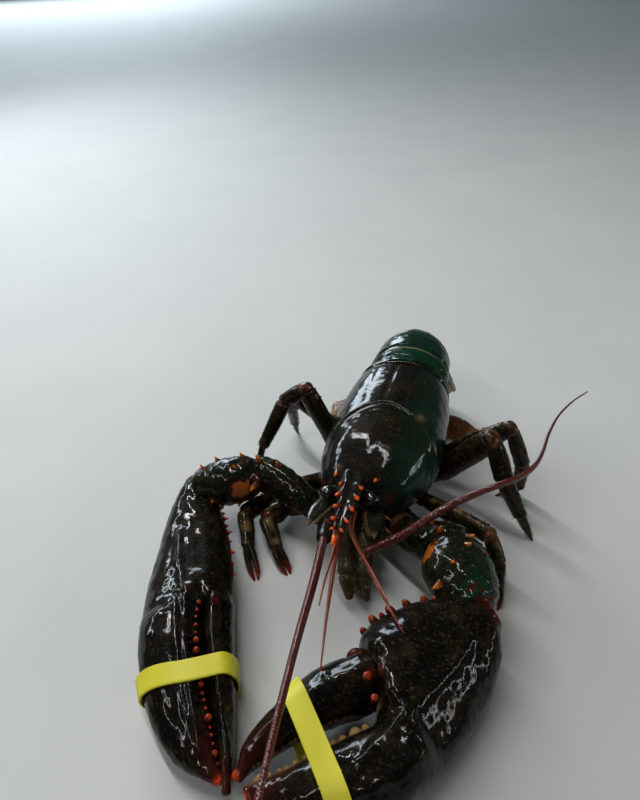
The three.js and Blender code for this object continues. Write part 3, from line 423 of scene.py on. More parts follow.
def wet_shell(name, deep, brown, freckle, under, orange, skin="#48150c", teal_reflection=None,
              reflection_edges=(-0.02, 0.016), blotch=15, freckle_size=1.5, rough=0.3, film=0.22):
    """Pigmented, pitted shell under a film of water, with a painted teal reflection over its +X side:
    sizes in mm, the edges of that side in metres.
    """
    material, tree, shader = blank(name)
    where = add(tree, "ShaderNodeTexCoord").outputs["Object"]
    large, small, speckle, waves = [
        add(tree, "ShaderNodeTexNoise", {"Vector": where, "Scale": 1000 / size, "Detail": detail,
                                         "Roughness": uneven}).outputs[0]
        for size, detail, uneven in [(blotch, 5, 0.62), (freckle_size, 3, 0.5), (SPECK, 2, 0.5),
                                     (FILM_WAVE, 5, 0.55)]
    ]
    cells, pits = [
        add(tree, "ShaderNodeTexVoronoi", {"Vector": where, "Scale": 1000 / size}).outputs
        for size in (SPOT_SPACING, PIT_SPACING)
    ]
    paint = add(tree, "ShaderNodeVertexColor", layer_name="paint")
    warm, pale, low = list(add(tree, "ShaderNodeSeparateColor", {0: paint.outputs["Color"]}).outputs)[:3]
    chance = add(tree, "ShaderNodeSeparateColor", {0: cells["Color"]}).outputs[0]
    across = add(tree, "ShaderNodeSeparateXYZ", {0: where}).outputs[0]
    blotches, freckles, specks, discs, chosen, reddish, orangish, clumps, beside, reflection_patches, gloss = [
        add(tree, "ShaderNodeMapRange", {0: value, 1: start, 2: stop, 3: first, 4: last},
            interpolation_type="SMOOTHSTEP").outputs[0]
        for value, start, stop, first, last in [
            (large, 0.47, 0.68, 0, 1),
            (small, 0.56, 0.68, 0, 1),
            (speckle, 0.6, 0.7, 0, 0.35),
            (cells["Distance"], 0.15, 0.09, 0, 1),
            (chance, 0.8, 0.82, 0, 1),
            (warm, 0, 0.5, 0, 1),
            (warm, 0.5, 1, 0, 1),
            (large, 0.4, 0.5, 0, 1),
            (across, *reflection_edges, 0, 1),
            (large, 0.3, 0.6, 1, 0.35),
            (small, 0.3, 0.7, rough, rough + 0.22),
        ]
    ]
    painted_reflection, dusted, spotted, dark_spots = [
        add(tree, "ShaderNodeMath", {0: one, 1: two}, operation="MULTIPLY").outputs[0]
        for one, two in [(beside, reflection_patches), (freckles, large), (discs, chosen), (clumps, freckles)]
    ]
    # Painted reflection: teal is mixed in over the +X side, between the two edges, in large patches.
    layers = [
        (blotches, sight(brown)), (painted_reflection, sight(teal_reflection or brown)), (dusted, sight(freckle)),
        (specks, sight(freckle)), (spotted, sight(freckle)),
    ]
    if not teal_reflection:
        layers.pop(1)
    for amount, mask, first, second in [
        (low, freckles, under, brown), (pale, freckles, "#b89a68", "#8a6238"),
        (reddish, freckles, skin, deep), (orangish, dark_spots, orange, brown),
    ]:
        top = add(tree, "ShaderNodeMix", {0: mask, 6: sight(first), 7: sight(second)}, data_type="RGBA")
        layers.append((amount, top.outputs[2]))
    colour = sight(deep)
    for amount, top in layers:
        colour = add(tree, "ShaderNodeMix", {0: amount, 6: colour, 7: top}, data_type="RGBA").outputs[2]
    pitted = add(tree, "ShaderNodeBump",
                 {"Height": pits["Distance"], "Strength": 0.3, "Distance": 0.12 * MM})
    wavy = add(tree, "ShaderNodeBump", {"Height": waves, "Strength": film, "Distance": 0.8 * MM,
                                        "Normal": pitted.outputs[0]})
    water = add(tree, "ShaderNodeBump", {"Height": waves, "Strength": film, "Distance": 0.7 * MM})
    links = {"Base Color": colour, "Roughness": gloss, "Normal": wavy.outputs[0],
             "Coat Normal": water.outputs[0]}
    for socket, source in links.items():
        tree.links.new(source, shader.inputs[socket])
    shader.inputs["Specular IOR Level"].default_value = 0.04
    shader.inputs["Coat Weight"].default_value = 0.75
    shader.inputs["Coat Roughness"].default_value = 0.02
    shader.inputs["Coat IOR"].default_value = 1.36
    return material


# %% The shell finishes
# The teal given to the back, arm and tail shells is a painted teal reflection on their +X side.
back_shell = wet_shell("wet_back_shell", "#0c0b07", "#241b0d", "#453c1e", "#523820", "#d4581e",
                       teal_reflection="#0f3a2a", reflection_edges=(0.002, 0.024), blotch=18)
claw_shell = wet_shell("wet_claw_shell", "#080705", "#221a0d", "#463c20", "#4e2a16", "#c2481c",
                       blotch=12)
arm_shell = wet_shell("wet_arm_shell", "#0b110a", "#272110", "#4c4822", "#6e4420", "#cf7a2c",
                      teal_reflection="#0e3324", reflection_edges=(0.056, 0.07), blotch=10)
pincer_leg_shell = wet_shell("wet_pincer_leg_shell", "#14120a", "#332611", "#5a4d29", "#5e4426",
                             "#8c1c12", skin="#54221a", blotch=8)
leg_shell = wet_shell("wet_leg_shell", "#14120a", "#332611", "#5a4d29", "#5e4426", "#a86a44",
                      skin="#5e3826", blotch=8)
tail_shell = wet_shell("wet_tail_shell", "#08110d", "#141d14", "#2f3a22", "#5e4a32", "#9a5a2a",
                       skin="#3e3020", teal_reflection="#0e4634", reflection_edges=(-0.03, 0.006), blotch=16)
fan_shell = wet_shell("wet_fan_shell", "#4a2a14", "#66401c", "#855a2c", "#7a5030", "#a4602a",
                      skin="#5e3018", blotch=9, film=0.25)
face_shell = wet_shell("wet_face_shell", "#12170e", "#28241a", "#4f4c2c", "#5e4228", "#b05a2a",
                       blotch=7)
mouth_shell = wet_shell("wet_mouth_shell", "#3c3620", "#564a2c", "#80764c", "#5e4a2a", "#7e3a1e",
                        skin="#3a2416", blotch=6)
print("shell finishes:", sum(m.name.startswith("wet") for m in bpy.data.materials))

# %% [markdown]
# ## Carapace
# The back of the head and chest is one shell, with a neck groove across it where it would bend
# if it could. It is rolled whole, so the groove is a dent in one surface as on the animal, and
# the rim at the rear, the middle line and the eye sockets are stroked in the same way.

# %% The shell of the back
GROOVE_Y = 3.0
REAR_EDGE = 54.0
back_form = Form([
    [LEAN - 1.0, REAR_EDGE, 45, 31, 27, 22, BODY_ROLL],
    [LEAN, 34, 43, 34.5, 30.5, 25, BODY_ROLL],
    [LEAN + 0.6, 14, 41.5, 36.1, 31, 25, BODY_ROLL],
    [LEAN + 1.6, -6, 40, 36.6, 30, 24, BODY_ROLL],
    [LEAN + 1.5, -24, 38.5, 34, 27.5, 21, BODY_ROLL],
    [LEAN + 0.2, -39, 37.5, 28.2, 22, 17, BODY_ROLL],
    [LEAN - 3, -52, 37, 19, 15.5, 11, BODY_ROLL],
], axis=HEADWARD, square=2.2, ends=(0.0, 0.35))
CHEEKS = [(21, -46, 44, 3.6, 0.7), (17, -41, 51, 3, 0.45), (-18, -46, 41, 3.5, 0.5)]
PALE_SPOTS = [(26, 1, 66, 2.2), (14, -28, 62, 1.8), (-9, -41, 53, 1.5), (24, -36, 52, 1.4)]


def back_sculpt(place, out, t, angle):
    y = place[..., 1]
    z = place[..., 2]
    side = np.abs(angle - math.pi / 2)[None, :]
    top = step(math.pi * 0.62 - side, 0, 0.5)
    bend = y - (GROOVE_Y - 0.62 * (71 - z) + 5.0 * np.exp(-(side / 0.35) ** 2) - 4.0)
    low = step(z, 22, 34)
    groove = -1.3 * np.exp(-(bend / 1.1) ** 2) * low * (0.45 + 0.55 * top)
    lip = 0.45 * np.exp(-((bend + 3.4) / 2.6) ** 2) * low
    middle = -0.55 * np.exp(-(side * 34 / 0.9) ** 2) * step(bend, 1, 6)
    gill = -0.5 * np.exp(-((side - 0.34 - 0.004 * (y - 20)) * 34 / 1.6) ** 2)
    gill = gill * step(bend, 2, 9) * step(46 - y, 0, 8)
    rim = 0.5 * step(y, REAR_EDGE - 4, REAR_EDGE - 2)
    rim = rim - 1.0 * np.exp(-((y - (REAR_EDGE - 5.0)) / 1.1) ** 2)
    sockets = 0
    for spot in [(14.5, -53.0, 48), (-13, -53.0, 45.5)]:
        sockets = sockets - 4.0 * hill(place, spot, 6.5)
    cheek = 0
    for path in ([(22, -44, 47), (26, -30, 52)], [(-19, -44, 43), (-24, -30, 47)]):
        cheek = cheek + 0.9 * stroke(place, path, 3.0)
    ridge = 0.7 * stroke(place, [(2.6, -16, 71), (2.2, -26, 66), (1.8, -36, 61)], 3.0)
    uneven = 0.1 * ripple(place, 12, 1) + 0.04 * ripple(place, 3.4, 2)
    return groove + lip + (middle + gill) * top + rim + sockets + cheek + ridge + uneven


def back_paint(place, out, t, angle):
    y = place[..., 1]
    z = place[..., 2]
    side = np.abs(angle - math.pi / 2)[None, :]
    edge = step(y, REAR_EDGE - 1.6, REAR_EDGE - 0.5) * step(1.6 - side, 0, 0.4)
    warm = 0.25 * step(30 - z, 0, 8)
    for x, where_y, where_z, radius, height in CHEEKS:
        warm = np.maximum(warm, height * hill(place, (x, where_y, where_z), radius))
    pale = 0.35 * edge
    for x, where_y, where_z, radius in PALE_SPOTS:
        pale = np.maximum(pale, 0.8 * hill(place, (x, where_y, where_z), radius))
    return warm, pale


back = rolled("back_shell", back_form, around=176, along=150, cap=8, sculpt=back_sculpt, paint=back_paint)

# %% The beak between the eyes
beak_form = Form([
    [2, -36, 53.2, 4.4, 2.6], [1, -44, 53.6, 7.2, 3.4], [1, -54, 51, 6.9, 3.7],
    [1.6, -66, 48.8, 5, 3.2], [2.2, -78, 46.8, 3.4, 2.6], [2.8, -90, 45.8, 0.9, 0.9],
], ends=(0.5, 1.6))


def beak_sculpt(place, out, t, angle):
    side = np.abs(angle - math.pi / 2)[None, :]
    trough = -1.3 * np.exp(-(side / 0.55) ** 2) * (step(t, 0.1, 0.9) * step(4.8 - t, 0, 1))[:, None]
    return trough + 0.05 * ripple(place, 5, 3)


def beak_paint(place, out, t, angle):
    tip = step(t, 4.1, 4.9)[:, None] * np.ones(len(angle))
    return tip, 0 * tip


beak = rolled("beak", beak_form, around=48, along=60, sculpt=beak_sculpt, paint=beak_paint)
beak_thorns = spines_on(beak_form, [
    [t, degrees, length, radius]
    for t, length, radius in [(1.9, 2.4, 1.3), (2.5, 3.2, 1.55), (3.1, 3.2, 1.5), (3.75, 3.0, 1.3),
                              (4.3, 2.4, 1.1)]
    for degrees in (38, 142)
], lean=0.9, warm=1.0)
brow_thorns = []
for x, z in [(-10.5, 51.5), (13, 54)]:
    brow_thorns.append(((x, -45, z), (0, -0.9, 0.45), 5, 1.9, 1.0, 0.3))
    brow_thorns.append(((x * 1.6 + 1, -43.5, z - 10), (0, -1, 0.1), 6, 1.7, 0.6, 0.7))
    brow_thorns.append(((x * 1.75 + 1, -39, z - 4), (0, -1, 0.25), 3.4, 1.3, 0.4, 0.8))
beak_teeth = stand("beak_teeth", TOOTH, beak_thorns)
carapace = joined("carapace", [back, beak, beak_teeth, stand("brow_thorns", THORN, brow_thorns)])
dress(carapace, back_shell, "back_shell", "head", "thorax")

# %% [markdown]
# ## Breast plate and eyes
# Underneath, narrow plates lie between the legs, with a groove at each pair. The eyes are black
# balls of thousands of tiny facets on short stalks, so wet and smooth that they look like beads.

# %% Breast plate
breast_form = Form([
    [LEAN, 34, 20, 13, 4, 6], [LEAN, 20, 18.5, 15, 5, 7], [LEAN, 0, 17, 14, 5, 7],
    [LEAN - 1, -20, 17.5, 12, 5, 6.5], [LEAN - 2, -38, 20, 9, 4, 5],
], axis=HEADWARD, square=3, ends=(0.3, 0.3))


def breast_sculpt(place, out, t, angle):
    joints = sum(np.exp(-((place[..., 1] - y) / 1.3) ** 2) for y in (29, 15, 1, -14, -28))
    keel = np.exp(-((place[..., 0] - LEAN) / 1.5) ** 2)
    return (-1.5 * joints - 0.8 * keel) * step(-out[..., 2], 0.1, 0.6) + 0.12 * ripple(place, 5, 4)


breast = rolled("breast_plate", breast_form, around=64, along=90, sculpt=breast_sculpt)
dress(breast, leg_shell, "breast_shell", "sternum")


# %% Eyes
def eye_finish():
    material, tree, shader = blank("wet_black_eye")
    where = add(tree, "ShaderNodeTexCoord").outputs["Object"]
    facets = add(tree, "ShaderNodeTexVoronoi", {"Vector": where, "Scale": 1000 / 0.35})
    bumps = add(tree, "ShaderNodeBump",
                {"Height": facets.outputs["Distance"], "Strength": 0.12, "Distance": 0.0001})
    sheen = add(tree, "ShaderNodeTexNoise", {"Vector": where, "Scale": 1000 / 3})
    tint = add(tree, "ShaderNodeMix", {0: sheen.outputs[0], 6: sight("#050506"), 7: sight("#15110c")},
               data_type="RGBA")
    tree.links.new(tint.outputs[2], shader.inputs["Base Color"])
    tree.links.new(bumps.outputs[0], shader.inputs["Normal"])
    shader.inputs["Roughness"].default_value = 0.1
    shader.inputs["Coat Weight"].default_value = 1.0
    shader.inputs["Coat Roughness"].default_value = 0.02
    return material


black_eye = eye_finish()
EYES = {"left": ((8, -49, 46.5), (13.5, -54.5, 47.5)), "right": ((-7, -49, 44.5), (-12.5, -54.5, 44.5))}
EYE_RADIUS = 4.6
for side, (stalk, ball) in EYES.items():
    bpy.ops.object.select_all(action="DESELECT")
    bpy.ops.mesh.primitive_uv_sphere_add(segments=40, ring_count=26, radius=EYE_RADIUS * MM,
                                         location=(0, 0, 0))
    globe = bpy.context.object
    bpy.ops.transform.resize(value=(1, 0.94, 0.94))
    bpy.ops.transform.translate(value=metres(ball))
    bpy.ops.object.transform_apply(location=True, rotation=True, scale=True)
    write_paint(globe.data, np.zeros((len(globe.data.vertices), 3)))
    bpy.ops.object.shade_smooth()
    globe.data.materials.append(black_eye)
    neck_rows = [[*stalk, 3.2, 3.0], [*mix(stalk, ball, 0.5), 3.3, 3.2], [*ball, 4.3, 4.1]]
    neck_form = Form(neck_rows, ends=(0.3, 0.05))
    neck = rolled("eye_stalk", neck_form, around=28, along=12)
    neck.data.materials.append(face_shell)
    eye = joined("eye_" + side, [globe, neck])
    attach(eye, "root")
    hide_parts("eye_" + side)
    print(eye.name, len(eye.data.polygons), "faces")

# %% [markdown]
# ## Feelers
# The long feelers are whips of hundreds of short rings on a base of three stout segments, with a
# leaf-shaped scale beside it. The rings are modelled, because their outline shows against light.

# %% Feeler bases with their scales
FEELER_BASES = {
    "left": [[11, -47, 31, 6.5, 6], [15, -56, 32, 6.8, 6.2], [19.5, -66, 33.5, 5.4, 5],
             [23, -74, 35.5, 4.2, 4]],
    "right": [[-7, -47, 29, 6.5, 6], [-9, -57, 30, 6.8, 6.2], [-8.5, -69, 32, 5.2, 5],
              [-6.5, -79, 34.5, 4.2, 4]],
}
SCALES = {
    "left": [[15, -53, 39.5, 4.5, 1.2], [17.5, -61, 40.5, 4.7, 1.2], [19.5, -69, 41, 3.2, 1],
             [21, -75, 41.5, 0.8, 0.6]],
    "right": [[-13, -52, 37, 4.5, 1.2], [-15.5, -60, 38, 4.7, 1.2], [-16.5, -69, 39, 3.2, 1],
              [-16.5, -76, 39.5, 0.8, 0.6]],
}


def knuckled(joints, depth=1.2, width=0.06):
    """Sculpting that pinches a limb at its joints and swells it just before them."""
    def sculpt(place, out, t, angle):
        pinch = sum(-depth * np.exp(-((t - j) / width) ** 2) for j in joints)
        swell = sum(0.45 * depth * np.exp(-((t - j + 2.6 * width) / (1.6 * width)) ** 2) for j in joints)
        return (pinch + swell)[:, None] + 0.08 * ripple(place, 3.2, 5)
    return sculpt


def joint_paint(joints, width=0.08, strength=0.8):
    """Paints the soft skin at the joints."""
    def paint(place, out, t, angle):
        near = sum(strength * np.exp(-((t - j) / width) ** 2) for j in joints)
        near = near[:, None] * np.ones(len(angle))
        return near, 0.2 * near
    return paint


def scale_sculpt(place, out, t, angle):
    return 0.08 * np.cos(6 * angle) + 0 * t[:, None]


def scale_paint(place, out, t, angle):
    tip = 0.2 * step(t, 2.2, 3)[:, None] + 0 * angle
    return 0 * tip, tip


for side, rows in FEELER_BASES.items():
    outer = 12 if side == "left" else 168
    base_form = Form(rows, ends=(0.3, 0.3))
    base = rolled("feeler_base", base_form, around=36, along=60, sculpt=knuckled([1.0, 2.0]),
                  paint=joint_paint([1.0, 2.0]))
    scale_form = Form(SCALES[side], ends=(0.5, 2.0))
    scale = rolled("scale", scale_form, around=28, along=30, sculpt=scale_sculpt, paint=scale_paint)
    joint, foot = rows[1][:3], SCALES[side][0][:3]
    stem_rows = [[*joint, 3, 3], [*mix(joint, foot, 0.5), 3, 2.6], [*foot, 3.4, 1.4]]
    stem = rolled("scale_stem", Form(stem_rows, up=(1, 0, 0), ends=(0.3, 0.3)), around=16, along=10)
    thorns = spines_on(base_form, [
        [0.8, outer, 6, 1.7], [1.8, outer, 4.5, 1.3], [0.9, 90, 3, 1.2], [1.5, 180 - outer, 3, 1.1],
    ], lean=1.4, warm=0.3, pale=0.8)
    hairs = []
    draw = np.random.default_rng(11)
    for t in np.linspace(0.3, 2.9, 46):
        foot, way, ahead = scale_form.place(t, 180 - outer)
        hairs.append((foot, way + 0.5 * ahead + 0.15 * draw.normal(size=3), 3.2, 0.13, 0.1, 0.6))
    parts = [base, scale, stem, stand("base_thorns", THORN, thorns), stand("scale_hairs", BRISTLE, hairs)]
    dress(joined("feeler_base_" + side, parts), face_shell, "face_shell", "feeler_base_" + side)


# %% Whips
def feeler_finish(name, dark, light):
    material, tree, shader = blank(name)
    where = add(tree, "ShaderNodeTexCoord").outputs["Object"]
    paint = add(tree, "ShaderNodeVertexColor", layer_name="paint")
    marks = add(tree, "ShaderNodeSeparateColor", {0: paint.outputs["Color"]})
    noise = add(tree, "ShaderNodeTexNoise", {"Vector": where, "Scale": 1000 / 1.2, "Detail": 3})
    colour = add(tree, "ShaderNodeMix", {0: noise.outputs[0], 6: sight(dark), 7: sight(light)},
                 data_type="RGBA")
    colour = add(tree, "ShaderNodeMix",
                 {0: marks.outputs[0], 6: colour.outputs[2], 7: sight("#1c0905")}, data_type="RGBA")
    tree.links.new(colour.outputs[2], shader.inputs["Base Color"])
    rough = add(tree, "ShaderNodeMapRange", {0: noise.outputs[0], 3: 0.22, 4: 0.45})
    tree.links.new(rough.outputs[0], shader.inputs["Roughness"])
    shader.inputs["Specular IOR Level"].default_value = 0.1
    shader.inputs["Coat Weight"].default_value = 1.0
    shader.inputs["Coat Roughness"].default_value = 0.05
    return material


feeler_horn = feeler_finish("dark_red_feeler_horn", "#3c0d06", "#6c2410")
small_horn = feeler_finish("orange_feeler_horn", "#6e2610", "#a34a1e")
WHIPS = {
    "left": [[23.6, -75.6, 35.9, 2.6], [36.2, -68.5, 43, 2.5], [47, -58.6, 49, 2.4],
             [57.8, -46.8, 52, 2.3],
             [69.2, -35.1, 53, 2.1], [81.1, -22.4, 52, 1.9], [89.5, -9, 48, 1.7], [96, 8, 43.5, 1.5],
             [99.5, 27, 40, 1.25], [102, 50, 38, 1.05], [107, 72, 38, 0.8], [115, 89, 39.5, 0.6],
             [123, 99, 42, 0.4]],
    "right": [[-6, -81.5, 35.2, 2.5], [-3.5, -94, 36.5, 2.4], [0.5, -114, 39.5, 2.3],
              [4.3, -136, 43.5, 2.1],
              [8, -156, 47.5, 1.9], [12.3, -177.1, 52, 1.8], [16.4, -196.7, 56, 1.65],
              [21.2, -218.6, 59, 1.5],
              [26.5, -241, 58.5, 1.3], [33, -263, 54, 1.05], [41, -284, 46, 0.75], [50, -302, 36, 0.4]],
}
RING_PITCH = 1.6
RING_PROFILE = np.array([-0.2, -0.03, 0.07, 0.09])     # in shares of the whip's radius
STEPS_PER_RING = len(RING_PROFILE)


def whip(name, rows, pitch=RING_PITCH, around=12):
    """A tapering whip of rings, each a little flared at its far edge."""
    form = Form([[*r[:3], 0.93 * r[3], 0.93 * r[3]] for r in rows], ends=(0.0, 0.9))
    fine = through(form.rows, np.linspace(0, len(rows) - 1, 600))[:, :3]
    length = np.linalg.norm(np.diff(fine, axis=0), axis=1).sum()
    count = int(length / pitch) * STEPS_PER_RING

    def flare(place, out, t, angle):
        size = through(form.rows, t)[:, 3]
        swell = RING_PROFILE[np.arange(len(t)) % STEPS_PER_RING]
        return (swell * size)[:, None] * np.ones(len(angle))

    def paint(place, out, t, angle):
        k = np.arange(len(t)) % STEPS_PER_RING
        return (k == 0)[:, None] * 0.9 * np.ones(len(angle)), 0 * place[..., 0]

    piece = rolled(name, form, around=around, along=count, even=True, cap=2, sculpt=flare, paint=paint)
    print(name, round(length), "mm long,", count // STEPS_PER_RING, "rings")
    return piece


for side, rows in WHIPS.items():
    root = [*(2 * np.array(rows[0][:3]) - np.array(rows[1][:3])), rows[0][3]]
    rows = [[*mix(root[:3], rows[0][:3], 0.5), rows[0][3]], *rows]
    dress(whip("feeler_" + side, rows), feeler_horn, "feeler", f"feeler_{side}_near",
          f"feeler_{side}_far")

# %% Small feelers, two strands each
ANTENNULES = {
    "left": [
        [[5.5, -62, 42.5, 2.2], [6.5, -70, 38, 2.0], [12.5, -79, 37.5, 1.2], [23.1, -93.5, 40, 1.1],
         [36, -111, 43.5, 0.9], [51, -129, 45, 0.4]],
        [[7.2, -73, 37.4, 1.1], [15, -84, 39.5, 0.9], [26.5, -98.5, 43.5, 0.7], [39, -115.5, 48, 0.4]],
    ],
    "right": [
        [[-1.5, -62, 41, 2.2], [0.6, -74, 36.5, 2.0], [3.4, -86, 36, 1.3], [8, -107, 37, 1.2],
         [13.5, -130, 38.3, 0.8], [20, -155, 39, 0.4]],
        [[0.8, -78, 36, 1.1], [3, -91, 38.5, 0.9], [5.5, -109, 41.5, 0.7], [9, -127, 44.5, 0.4]],
    ],
}
for side, strands in ANTENNULES.items():
    parts = [whip("strand", rows, pitch=1.0, around=8) for rows in strands]
    dress(joined("antennule_" + side, parts), small_horn, "feeler", "antennule_" + side)

# %% [markdown]
# ## Claws
# Both claws are broad hands with two fingers, one of them hinged. The crusher has blunt molars
# and a gape; the pincher is slimmer, with a row of small teeth. Each finger is rolled on its own
# form, so the bite edges are rounded like the real ones, and low ridges run toward the tips.

# %% Claw frames
class Claw:
    """Places on a claw: s mm from the wrist, e mm toward the inner edge, z mm above the floor."""

    def __init__(self, wrist, tip, inward, roll):
        self.wrist = np.array([wrist[0], wrist[1], 0.0])
        run = np.array([tip[0] - wrist[0], tip[1] - wrist[1], 0.0])
        self.axis = unit(run)
        self.inner = np.array([self.axis[1], -self.axis[0], 0.0]) * inward
        self.roll = math.radians(roll)
        self.turn = float(self.inner @ np.cross(UP, self.axis)) * self.roll

    def at(self, s, e, z):
        return self.wrist + s * self.axis + e * self.inner + z * UP

    def form(self, rows, square=2.0, ends=(0.5, 0.6)):
        table = []
        for s, outer, inner, thick, height in rows:
            seen = (inner - outer) / 2
            wide = math.sqrt(max(seen**2 - (thick * math.sin(self.roll)) ** 2, 0.6)) / math.cos(self.roll)
            table.append([*self.at(s, (outer + inner) / 2, height), wide, thick, thick, self.turn])
        return Form(table, axis=self.axis, square=square, ends=ends)

    def plan(self, place):
        away = place - self.wrist
        return away @ self.axis, away @ self.inner

    def path(self, rows):
        return [self.at(*row) for row in rows]


pincher = Claw((-99, -54), (-9, -202), -1, 8)
crusher = Claw((80, -95), (-4, -206), 1, 15)
PINCHER_PALM = [
    [0, -9.5, 5.5, 7.5, 25], [8, -15, 8, 9.8, 22], [22, -21.5, 11.5, 12.4, 17.7], [42, -27, 14.3, 14, 15],
    [66, -32.5, 14.8, 15, 14.7], [80, -34.6, 14, 15, 14.9], [88, -35.3, 10.5, 14.8, 15.2],
    [95, -35.7, -1.2, 14.4, 15.7], [106, -35.8, -2.8, 14, 16], [126, -33.8, -2.2, 12, 15.6],
    [146, -28.3, -1.2, 9.5, 14], [161, -19.2, 0.2, 6.5, 12.5], [168, -11, 1.2, 4.2, 11.9],
    [173, -3, 2.2, 2, 11.5],
]
PINCHER_FINGER = [
    [78, 0, 12.6, 11, 15.2], [87, -2.4, 13.6, 13, 15.4], [100, -2.6, 12.5, 13.2, 16],
    [114, -2.2, 11.4, 12.6, 16],
    [126, -1.8, 10.8, 11.2, 15.6], [146, -0.8, 9, 9, 14], [161, 0.4, 7.4, 6.2, 12.6],
    [171, 0.8, 5.6, 3.8, 11.9], [177, 0.9, 4.2, 2.2, 11.5],
]
CRUSHER_PALM = [
    [0, -15, 4.5, 9, 31.5], [6, -23, 10.5, 13, 28.5], [14, -28.5, 16.5, 16.5, 25.5],
    [24, -33.5, 21, 19, 23],
    [38, -38.8, 23.4, 21.5, 21.8], [52, -42.4, 22.4, 22, 21.8], [60, -44.2, 15.5, 21.8, 21.7],
    [67, -45.6, -6, 21, 21.6], [74, -46, -14, 19.8, 21.2], [84, -45.7, -12.8, 17.4, 20.4],
    [98, -41.5, -10, 14.5, 18.8], [115, -31.5, -6.8, 11, 16], [125, -22.5, -4, 7.8, 14.8],
    [131, -11, -1.6, 3.6, 13.8],
]
CRUSHER_FINGER = [
    [57, -7, 14, 14, 23.5], [64, -8.5, 15.6, 17, 22.8], [72, -8, 19.4, 17.8, 21.6],
    [84, -4.4, 21.6, 16.4, 20.6],
    [98, -0.6, 20.4, 13.8, 18.8], [115, 1.2, 17, 10.8, 16.2], [125, 1.4, 12.4, 7.4, 14.8],
    [131, 0.8, 7, 3.2, 13.7],
]
print("claws reach", np.linalg.norm(pincher.axis), "and", np.linalg.norm(crusher.axis))


# %% Sculpt the hands
def hand_sculpt(claw, ridges, lumps, seed):
    """Low ridges along the fingers and lumps near the hinge, on the upper side."""
    def sculpt(place, out, t, angle):
        above = step(out[..., 2], -0.1, 0.4)
        total = 0.22 * ripple(place, 11, seed) + 0.12 * ripple(place, 4.5, seed + 1)
        for path, width, height in ridges:
            total = total + height * stroke(place, claw.path([(s, e, 0) for s, e in path]), width,
                                            flat=True) * above
        for s, e, z, radius, height in lumps:
            total = total + height * hill(place, claw.at(s, e, z), radius)
        return total
    return sculpt


def hand_paint(claw, tip, seed, spots=(), gape=()):
    """Fingertips turn dark red and then orange, and the edge of a gape is tan."""
    def paint(place, out, t, angle):
        s, e = claw.plan(place)
        wobble = s + 3 * ripple(place, 10, seed)
        warm = 0.3 * step(wobble, tip[0] - 34, tip[0] - 8) * np.exp(-((e - tip[1]) / 11) ** 2)
        warm = np.maximum(warm, 0.95 * hill(place, claw.at(*tip), 4.6))
        warm = np.maximum(warm, 0.4 * step(4 - s, 0, 4))
        for x, y, z, radius, strength in spots:
            warm = np.maximum(warm, strength * hill(place, claw.at(x, y, z), radius))
        pale = 0 * s
        if gape:
            rim = stroke(place, claw.path([(*row, 0) for row in gape]), 1.6,
                         flat=True) * step(out[..., 2], -0.6, 0)
            pale = 0.85 * rim
            warm = np.maximum(warm, 0.15 * rim)
        return warm, pale
    return paint


PINCHER_RIDGES = [
    ([(40, -13), (62, -13.4), (90, -10.6), (112, -11), (137, -10), (162, -7)], 1.7, 1.3),
    ([(84, -15.5), (114, -15), (138, -13.6), (158, -10)], 1.5, 0.9),
    ([(40, 1), (64, 2.4), (84, 1)], 2.6, 0.9),
]
PINCHER_FINGER_RIDGES = [
    ([(88, 4), (112, 1.8), (138, 3.1), (165, 4.6)], 1.5, 1.2),
    ([(92, 12), (120, 10), (146, 8.6)], 1.6, 0.8),
]
CRUSHER_RIDGES = [
    ([(20, -14), (33, -19), (58, -24), (79, -27.4), (99, -29), (118, -22)], 2.6, 1.6),
    ([(40, -38), (62, -40.5), (80, -39.5), (98, -35)], 2.2, 0.8),
]
CRUSHER_FINGER_RIDGES = [([(66, 3), (84, 6), (104, 9), (124, 7.5)], 2.4, 1.2)]
PINCHER_LUMPS = [(78, -6, 29, 7, 1.6), (84, -8, 29, 3.4, 2.0), (88, 5, 28.5, 4, 1.6), (30, 4, 28, 8, 0.8)]
CRUSHER_LUMPS = [
    (46, 4, 42, 5, 1.4), (44, -6, 43, 4.5, 1.3), (55, 6, 42, 5, 1.8), (62, -6, 43, 4, 1.8),
    (66, -14, 42, 4.5, 2.0), (58, -15, 43, 5, 1.2), (36, 10, 41, 6, 1.0), (74, -17, 40, 4, 1.4),
]


def bite_row(claw, rows, inner, start, stop, count, size, height, warm, pale, seed):
    """Teeth along a bite edge, uneven in size and standing toward the other finger."""
    draw = np.random.default_rng(seed)
    table = np.array(rows, float)
    places = []
    for k in range(count):
        s = start + (stop - start) * (k + 0.3 * draw.uniform(-1, 1)) / (count - 1)
        edge = np.interp(s, table[:, 0], table[:, 2 if inner else 1])
        z = np.interp(s, table[:, 0], table[:, 4]) + height
        big = size * draw.uniform(0.75, 1.2) * (1.35 if k % 4 == 1 else 1.0) * (1.1 - 0.45 * k / count)
        way = claw.inner * (1 if inner else -1) + 0.35 * UP
        places.append((claw.at(s, edge - 0.35 * big * (1 if inner else -1), z), way, 1.15 * big, big,
                       warm, pale))
    return places


